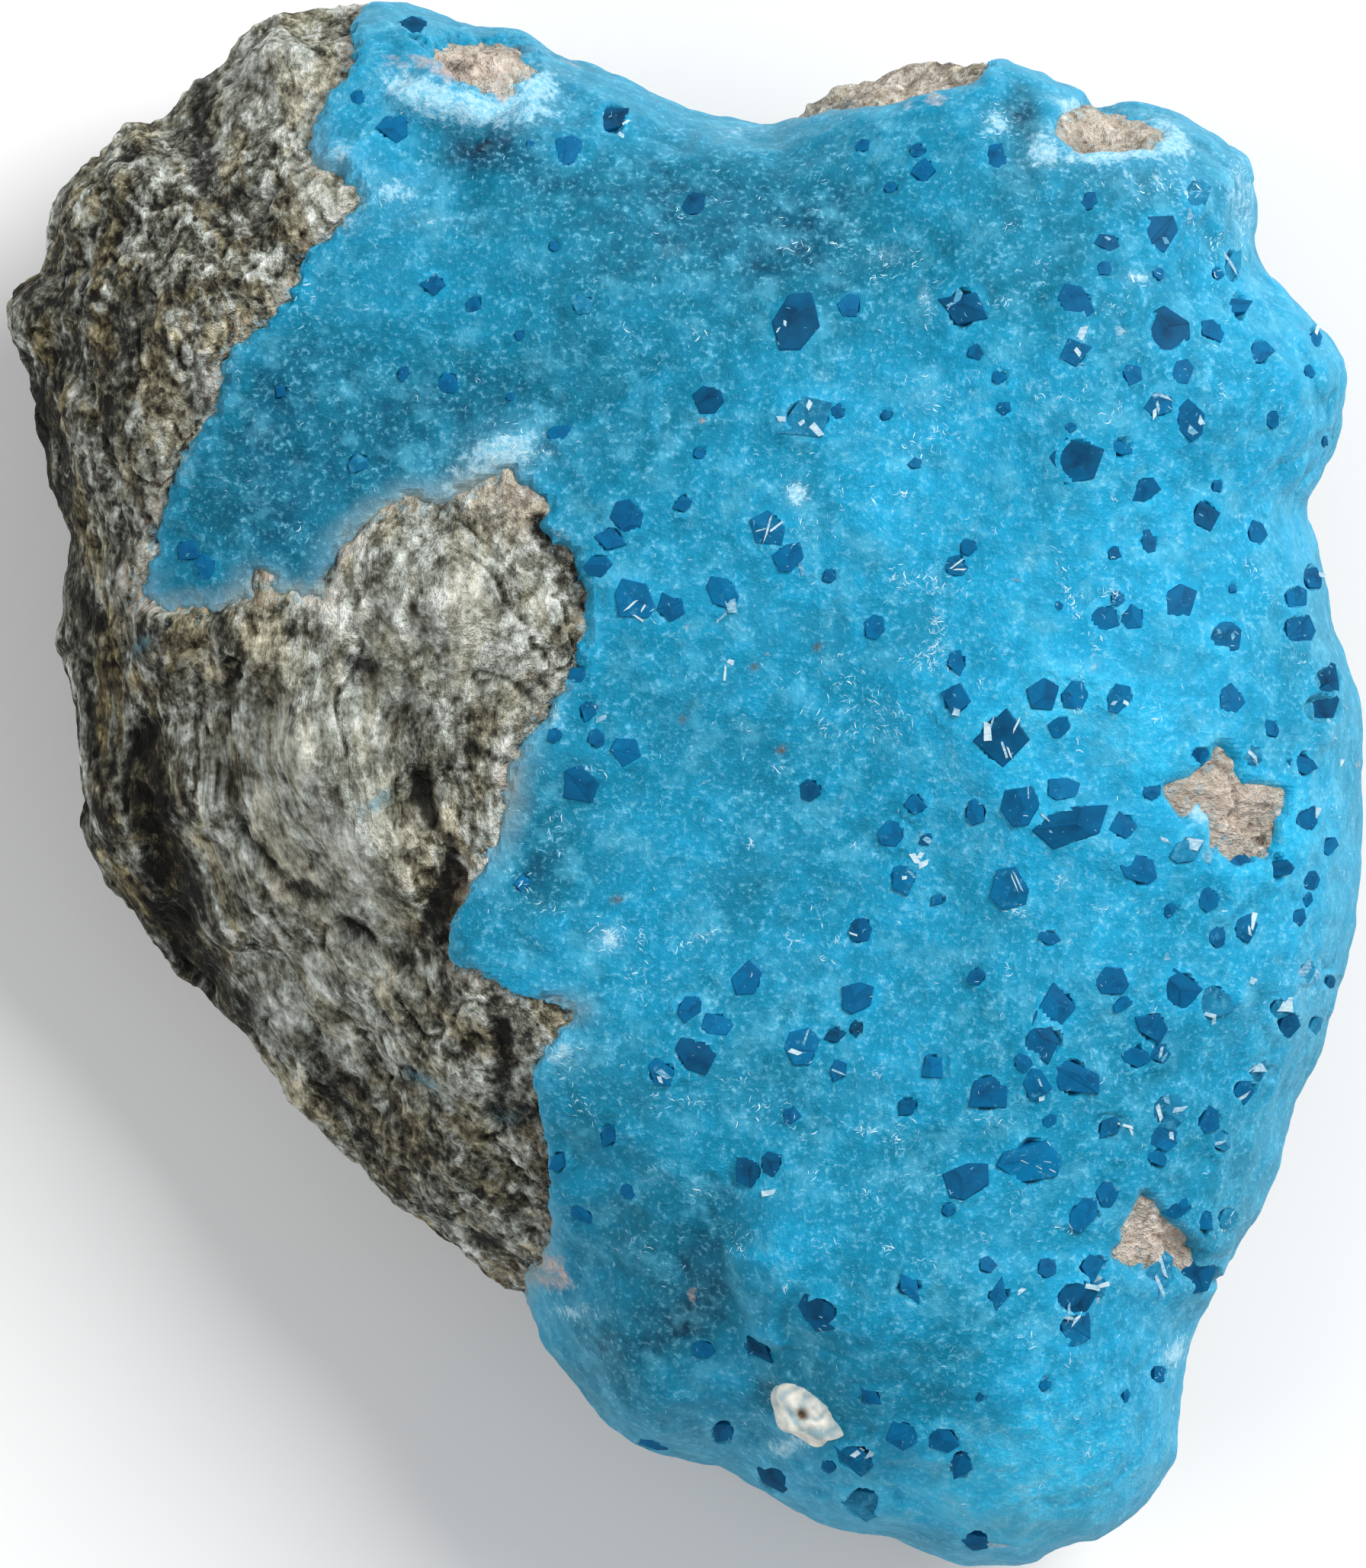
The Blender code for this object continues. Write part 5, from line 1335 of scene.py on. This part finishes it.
def make_sugar():
    """Sugary frost grains: none at a cover of 0, nearly closed at 1."""
    inputs = (("Place", "Vector", None), ("Cover", "Float", 0.5), ("Size", "Float", 0.6))
    tree, given, result = new_group("sugar frost", inputs, "Grains")
    scale = maths(tree, "DIVIDE", 1.0, given["Size"])
    values = {"Vector": given["Place"], "Scale": scale, "Detail": 4.0, "Roughness": 0.75}
    grains = put(tree, "ShaderNodeTexNoise", values).outputs["Fac"]
    edge = maths(tree, "SUBTRACT", 0.74, maths(tree, "MULTIPLY", given["Cover"], 0.38))
    over = maths(tree, "SUBTRACT", grains, edge)
    tree.links.new(between(tree, over, 0.0, 0.14), result["Grains"])
    return tree


def make_grit():
    """Fine grit for relief."""
    inputs = (("Place", "Vector", None), ("Size", "Float", 0.3))
    tree, given, result = new_group("fine grit", inputs, "Height")
    scale = maths(tree, "DIVIDE", 1.0, given["Size"])
    values = {"Vector": given["Place"], "Scale": scale, "Detail": 2.0, "Roughness": 0.65}
    tree.links.new(put(tree, "ShaderNodeTexNoise", values).outputs["Fac"], result["Height"])
    return tree


MOTTLE = make_mottle()
SUGAR = make_sugar()
GRIT = make_grit()


def grouped(tree, group, **values):
    item = tree.nodes.new("ShaderNodeGroup")
    item.node_tree = group
    for name, value in values.items():
        if isinstance(value, bpy.types.NodeSocket):
            tree.links.new(value, item.inputs[name])
        else:
            item.inputs[name].default_value = value
    return item.outputs[0]


def roughened(tree, shader, height, strength, distance):
    """Feeds a height, in the mesh's own relief, to the shader's normal."""
    bump = put(tree, "ShaderNodeBump", {"Strength": strength, "Distance": distance, "Height": height})
    tree.links.new(bump.outputs[0], shader.inputs["Normal"])


def times(tree, *values):
    result = values[0]
    for value in values[1:]:
        result = maths(tree, "MULTIPLY", result, value)
    return result


def plus(tree, *values):
    result = values[0]
    for value in values[1:]:
        result = maths(tree, "ADD", result, value)
    return result


def rock_finish():
    material, tree, shader = new_material("foliated host rock")
    place = object_place(tree)
    strands = attribute(tree, "strands", "Vector")
    pale = attribute(tree, "pale")
    hollow = attribute(tree, "hollow")
    streaked = stretched(tree, strands, (1, 0.8, 0.95))
    fine = grouped(tree, MOTTLE, Place=streaked, Size=0.45, Roughness=0.78)
    middle = grouped(tree, MOTTLE, Place=place, Size=2.3, Roughness=0.78)
    leafy = stretched(tree, strands, (1, 0.5, 0.9))
    coarse = grouped(tree, MOTTLE, Place=leafy, Size=3.0, Roughness=0.65)
    warp = put(tree, "ShaderNodeTexNoise", {"Vector": place, "Scale": 1.6, "Detail": 2.0}).outputs["Color"]
    bent = put(tree, "ShaderNodeVectorMath", {0: warp, "Scale": 0.8}, operation="SCALE").outputs[0]
    bent = put(tree, "ShaderNodeVectorMath", {0: streaked, 1: bent}, operation="ADD").outputs[0]
    crumbs = put(tree, "ShaderNodeTexVoronoi", {"Vector": bent, "Scale": 1.5}).outputs["Color"]
    crumb = put(tree, "ShaderNodeSeparateColor", {"Color": crumbs}).outputs[0]
    rifts = put(tree, "ShaderNodeTexVoronoi", {"Vector": bent, "Scale": 0.8}, feature="DISTANCE_TO_EDGE")
    rifts = rifts.outputs["Distance"]

    grainy = plus(
        tree, times(tree, fine, 0.2), times(tree, middle, 0.26), between(tree, crumb, 0, 1, -0.1, 0.1)
    )
    grainy = times(tree, grainy, between(tree, pale, -0.1, 0.8, 1.4, 0.65))
    # The rock's lightness: its paler areas, and painted shade where pale is below nought.
    value = plus(
        tree, between(tree, pale, -1, 1, 0.27, 0.82), grainy, times(tree, coarse, 0.12),
        # Painted light on crests and painted shade in small hollows.
        between(tree, hollow, -1, 1, 0.1, -0.24),
    )
    stops = (
        (0.0, (16, 16, 14)), (0.18, (52, 52, 45)), (0.36, (97, 97, 86)), (0.52, (136, 139, 129)),
        (0.68, (173, 178, 170)), (0.85, (210, 214, 208)), (1.0, (238, 240, 234)),
    )
    colour = ramp(tree, value, stops)

    brown = between(tree, grouped(tree, MOTTLE, Place=leafy, Size=2.2, Roughness=0.7), -0.1, 0.4, 0.0, 0.95)
    brown = times(tree, brown, between(tree, pale, -0.6, 0.6, 0.9, 0.25))
    colour = mixed(tree, brown, colour, mixed(tree, 1.0, colour, tuned((220, 194, 136)), "MULTIPLY"))
    beige = mixed(tree, between(tree, fine, -1, 1), tuned((178, 156, 140)), tuned((240, 224, 208)))
    colour = mixed(tree, times(tree, attribute(tree, "beige"), 0.85), colour, beige)
    tint = times(tree, attribute(tree, "tint"), between(tree, fine, -0.6, 0.3))
    colour = mixed(tree, tint, colour, tuned((92, 150, 168)))

    line = times(tree, between(tree, rifts, 0.09, 0.0), between(tree, middle, 0.2, -0.5), 0.55)
    cells = put(tree, "ShaderNodeTexVoronoi", {"Vector": bent, "Scale": 1.3}).outputs
    chosen = put(tree, "ShaderNodeSeparateColor", {"Color": cells["Color"]}).outputs[1]
    speck = times(
        tree, between(tree, cells["Distance"], 0.3, 0.16), between(tree, chosen, 0.5, 0.55),
        between(tree, attribute(tree, "specks"), 0, 0.6),
    )
    # Painted shade in the clefts and the shaded hollows.
    crevice = between(tree, attribute(tree, "crevice"), 0.1, 0.75)
    crevice = times(tree, crevice, between(tree, fine, 1.0, -0.4, 0.6, 1.0))
    # Painted shade in broad hollows.
    valley = between(tree, attribute(tree, "valley"), 0.25, 1.0)
    dark = maths(tree, "ADD", plus(tree, line, speck, crevice), valley, True)
    # Crack lines and black specks, with the painted shade of clefts, hollows and valleys, darken towards
    # near-black.
    colour = mixed(tree, times(tree, dark, 0.9), colour, tuned((13, 13, 11)))

    near = attribute(tree, "near_crust")
    rust = times(tree, near, between(tree, middle, 0.0, 0.6, 0.0, 0.5))
    colour = mixed(tree, rust, colour, tuned((164, 142, 122)))
    frost = grouped(tree, SUGAR, Place=place, Cover=times(tree, near, 0.6), Size=0.7)
    colour = mixed(tree, times(tree, frost, 0.7), colour, tuned((150, 186, 196)))
    tree.links.new(colour, shader.inputs["Base Color"])
    shader.inputs["Roughness"].default_value = 0.85
    shader.inputs["Specular IOR Level"].default_value = 0.25
    height = plus(tree, fine, times(tree, grouped(tree, GRIT, Place=place, Size=0.3), 2.0), crumb)
    roughened(tree, shader, height, 0.8, 0.00015)
    return material


def crust_finish():
    material, tree, shader = new_material("waxy blue crust")
    place = object_place(tree)
    frost = attribute(tree, "frost")
    broad = grouped(tree, MOTTLE, Place=place, Size=6.5, Roughness=0.5)
    clouds = grouped(tree, MOTTLE, Place=place, Size=1.3, Roughness=0.62)
    fine = grouped(tree, MOTTLE, Place=place, Size=0.32, Roughness=0.6)
    value = plus(
        # The crust's own tone, with painted light and painted shade.
        tree, between(tree, attribute(tree, "tone"), -1, 1, 0.14, 0.86), times(tree, broad, 0.09),
        times(tree, clouds, 0.07), times(tree, fine, 0.05),
        # Painted light on crests and painted shade in small hollows.
        between(tree, attribute(tree, "hollow"), -1, 1, 0.06, -0.08),
        # Painted light on broad crests and painted shade in broad hollows.
        between(tree, attribute(tree, "valley"), -1, 1, 0.05, -0.07),
    )
    stops = (
        (0.0, (0, 36, 58)), (0.16, (0, 76, 104)), (0.32, (4, 106, 134)), (0.5, (10, 130, 166)),
        (0.68, (22, 154, 198)), (0.84, (48, 180, 222)), (1.0, (104, 206, 238)),
    )
    colour = ramp(tree, value, stops)
    dull = between(tree, grouped(tree, MOTTLE, Place=place, Size=3.2, Roughness=0.6), -0.1, 0.8, 0.0, 0.48)
    colour = mixed(tree, dull, colour, tuned((30, 120, 150)))
    # Milky clouds, and painted rim light that makes the steep slopes paler.
    milky_and_rim_light = between(tree, grouped(tree, MOTTLE, Place=place, Size=2.2, Roughness=0.68), 0.1, 1.1, 0.0, 0.5)
    milky_and_rim_light = maths(tree, "ADD", milky_and_rim_light, times(tree, attribute(tree, "steep"), 0.3), True)
    colour = mixed(tree, milky_and_rim_light, colour, tuned((88, 178, 208)))
    smear = times(tree, between(tree, clouds, 0.25, 1.0), between(tree, fine, -0.6, 0.6, 0.2, 0.6))
    smear = times(tree, smear, between(tree, attribute(tree, "tone"), -0.6, 0.2, 0.3, 1.0))
    colour = mixed(tree, smear, colour, tuned((96, 178, 206)))
    cover = plus(tree, times(tree, frost, 1.3), between(tree, clouds, -0.2, 0.8, 0.0, 0.3))
    sugar = grouped(tree, SUGAR, Place=place, Cover=cover, Size=0.75)
    white = mixed(tree, between(tree, fine, -0.8, 0.8), tuned((110, 184, 210)), tuned((192, 222, 234)))
    whitened = maths(tree, "ADD", times(tree, sugar, 0.6), times(tree, frost, 0.25), True)
    colour = mixed(tree, whitened, colour, white)
    # Paler cyan speckles from the fine mottling.
    pale_speckle = times(tree, between(tree, fine, 0.25, 0.8), between(tree, clouds, -0.8, 0.8, 0.12, 0.42))
    colour = mixed(tree, pale_speckle, colour, tuned((138, 206, 228)))
    fade = times(tree, attribute(tree, "thin"), between(tree, attribute(tree, "edge"), 2.2, 0.3))
    fade = maths(tree, "MULTIPLY", fade, between(tree, clouds, -1, 1, 0.7, 1.3), True)
    colour = mixed(tree, times(tree, fade, 0.9), colour, tuned((138, 150, 148)))
    peach = between(tree, plus(tree, attribute(tree, "peach"), times(tree, clouds, 0.3)), 0.4, 0.9, 0.0, 0.8)
    flesh = mixed(tree, between(tree, fine, -1, 1), tuned((176, 138, 116)), tuned((226, 196, 176)))
    colour = mixed(tree, peach, colour, flesh)
    brown = times(tree, attribute(tree, "brown"), between(tree, clouds, -1, 0.3))
    colour = mixed(tree, brown, colour, tuned((98, 70, 48)))
    tree.links.new(colour, shader.inputs["Base Color"])
    shader.inputs["Roughness"].default_value = 0.55
    shader.inputs["Specular IOR Level"].default_value = 0.14
    height = plus(tree, fine, grouped(tree, GRIT, Place=place, Size=0.16))
    roughened(tree, shader, height, 0.5, 0.00005)
    return material


def crystal_finish(name, dark, light, frosting):
    material, tree, shader = new_material(name)
    place = object_place(tree)
    clouds = grouped(tree, MOTTLE, Place=place, Size=0.8, Roughness=0.6)
    tone = plus(tree, times(tree, attribute(tree, "shade"), 0.4), times(tree, attribute(tree, "facet"), 0.5))
    tone = maths(tree, "ADD", tone, times(tree, clouds, 0.25), True)
    colour = mixed(tree, tone, tuned(dark), tuned(light))
    rim = between(tree, attribute(tree, "rim"), 0.2, 0.6, 0.0, 0.4)
    colour = mixed(tree, rim, colour, tuned((0, 112, 160)))
    haze = grouped(tree, SUGAR, Place=place, Cover=frosting, Size=0.45)
    colour = mixed(tree, times(tree, haze, 0.4), colour, tuned((100, 180, 210)))
    tree.links.new(colour, shader.inputs["Base Color"])
    shader.inputs["Roughness"].default_value = 0.6
    shader.inputs["Specular IOR Level"].default_value = 0.03
    shader.inputs["IOR"].default_value = 1.6
    shader.inputs["Transmission Weight"].default_value = 0.1
    return material


def frost_and_glint_finish():
    material, tree, shader = new_material("frost and glint flecks")
    # Pale blue to white: frost grains, and painted glints off tiny crystal faces.
    colour = mixed(tree, attribute(tree, "shade"), tuned((74, 166, 204)), tuned((204, 232, 240)))
    tree.links.new(colour, shader.inputs["Base Color"])
    shader.inputs["Roughness"].default_value = 0.35
    return material


def glint_finish():
    material, tree, shader = new_material("painted crystal glints")
    # Blue to near-white: painted glints.
    streaks = stretched(tree, object_place(tree), (1, 2.5, 1))
    clouds = grouped(tree, MOTTLE, Place=streaks, Size=0.4, Roughness=0.6)
    tone = maths(tree, "ADD", attribute(tree, "shade"), times(tree, clouds, 0.4), True)
    colour = mixed(tree, tone, tuned((50, 136, 172)), tuned((190, 214, 222)))
    tree.links.new(colour, shader.inputs["Base Color"])
    shader.inputs["Roughness"].default_value = 0.4
    return material


def nodule_finish():
    material, tree, shader = new_material("white ringed nodule")
    place = object_place(tree)
    clouds = grouped(tree, MOTTLE, Place=place, Size=0.7, Roughness=0.6)
    ring = plus(tree, times(tree, attribute(tree, "ring"), 0.6), times(tree, clouds, 0.4), 0.2)
    colour = ramp(tree, ring, ((0.0, (146, 176, 184)), (0.5, (198, 204, 198)), (1.0, (234, 230, 218))))
    colour = mixed(tree, between(tree, attribute(tree, "pit"), 0.15, 0.8), colour, tuned((98, 76, 58)))
    tree.links.new(colour, shader.inputs["Base Color"])
    shader.inputs["Roughness"].default_value = 0.6
    roughened(tree, shader, grouped(tree, GRIT, Place=place, Size=0.3), 0.5, 0.00006)
    return material


def make_surroundings():
    bpy.ops.object.select_all(action="DESELECT")
    bpy.ops.mesh.primitive_plane_add(size=6.0, location=(0, 0, -0.0002))
    floor = bpy.context.active_object
    floor.name = "studio_floor"
    material, _, shader = new_material("pale studio floor")
    shader.inputs["Base Color"].default_value = (0.86, 0.86, 0.86, 1)
    shader.inputs["Roughness"].default_value = 0.8
    floor.data.materials.append(material)

    world = bpy.data.worlds.new("soft studio")
    world.use_nodes = True
    world.node_tree.nodes["Background"].inputs["Color"].default_value = (0.97, 0.98, 1.0, 1)
    world.node_tree.nodes["Background"].inputs["Strength"].default_value = 0.42
    bpy.context.scene.world = world

    for name, place, size, power in (
        ("window light", (0.6, 0.5, 0.75), 0.55, 13.0),
        ("fill light", (-0.75, -0.1, 0.8), 0.9, 4.0),
    ):
        lamp = bpy.data.lights.new(name, "AREA")
        lamp.size = size
        lamp.energy = power
        item = bpy.data.objects.new(name, lamp)
        item.location = place
        item.rotation_euler = (-Vector(place)).to_track_quat("-Z", "Y").to_euler()
        bpy.context.collection.objects.link(item)

    # The frame's rows span the photograph's own height at the height of the widest outline.
    shown = PHOTO_ROWS * PIXEL
    camera = bpy.data.cameras.new("camera")
    camera.lens = 600
    camera.sensor_width = 36
    far = shown / 2 / (camera.sensor_width / 2 / camera.lens)
    item = bpy.data.objects.new("camera", camera)
    item.location = (PIXEL * MM, 0.07 * MM, (RIM_HEIGHT + far) * MM)
    camera.clip_start, camera.clip_end = 0.05, 10
    bpy.context.collection.objects.link(item)
    bpy.context.scene.camera = item
    bpy.context.scene.view_settings.view_transform = "Standard"


make_surroundings()

rock = make_rock()
rock.data.materials.clear()
rock.data.materials.append(rock_finish())

crust = make_crust()
crust.data.materials.clear()
crust.data.materials.append(crust_finish())

look = height_finder(crust)
variants = [rough_crystal(seed) for seed in range(10)]
sets = (
    ("dark_crystals", DARK_CRYSTALS, 0.07, ((0, 48, 78), (0, 88, 134), 0.2)),
    ("glinting_crystals", GLINTING_CRYSTALS, 0.07, ((0, 70, 108), (0, 116, 166), 0.45)),
    ("pale_crystals", PALE_CRYSTALS, 0.06, ((0, 84, 120), (40, 142, 180), 0.6)),
    ("blue_crystals", PLAIN_CRYSTALS, 0.05, ((0, 70, 112), (0, 108, 158), 0.35)),
)
pieces = [rock, crust]
crystals = []
for number, (name, rows, tilt, finish) in enumerate(sets):
    piece = make_crystals(name, rows, variants, tilt, 40 + number, look)
    piece.data.materials.append(crystal_finish(name.replace("_", " "), *finish))
    crystals.append(piece)
pieces += crystals

look = height_finder(crust, *crystals)
strokes = [frost_and_glint_stroke(seed, 1 + seed % 3) for seed in range(6)]
plates = [facet_plate(seed) for seed in range(6)]
fleck_rows = crowded_flecks(76) + scattered_flecks(SCATTERED_FLECKS, 77)
flecks = make_flecks("frost_and_glint_flecks", fleck_rows, strokes, 78, look)
flecks.data.materials.append(frost_and_glint_finish())
glints = make_glints("painted_glint_plates", GLINTS, plates, 79, look)
glints.data.materials.append(glint_finish())
nodule = make_nodule(look)
nodule.data.materials.append(nodule_finish())
for piece in (flecks, glints, nodule):
    pieces.append(piece)
for item in [*variants, *strokes, *plates]:
    bpy.data.objects.remove(item)

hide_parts("matrix")
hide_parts("hemimorphite_crust")
for piece in pieces:
    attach(piece, "root")
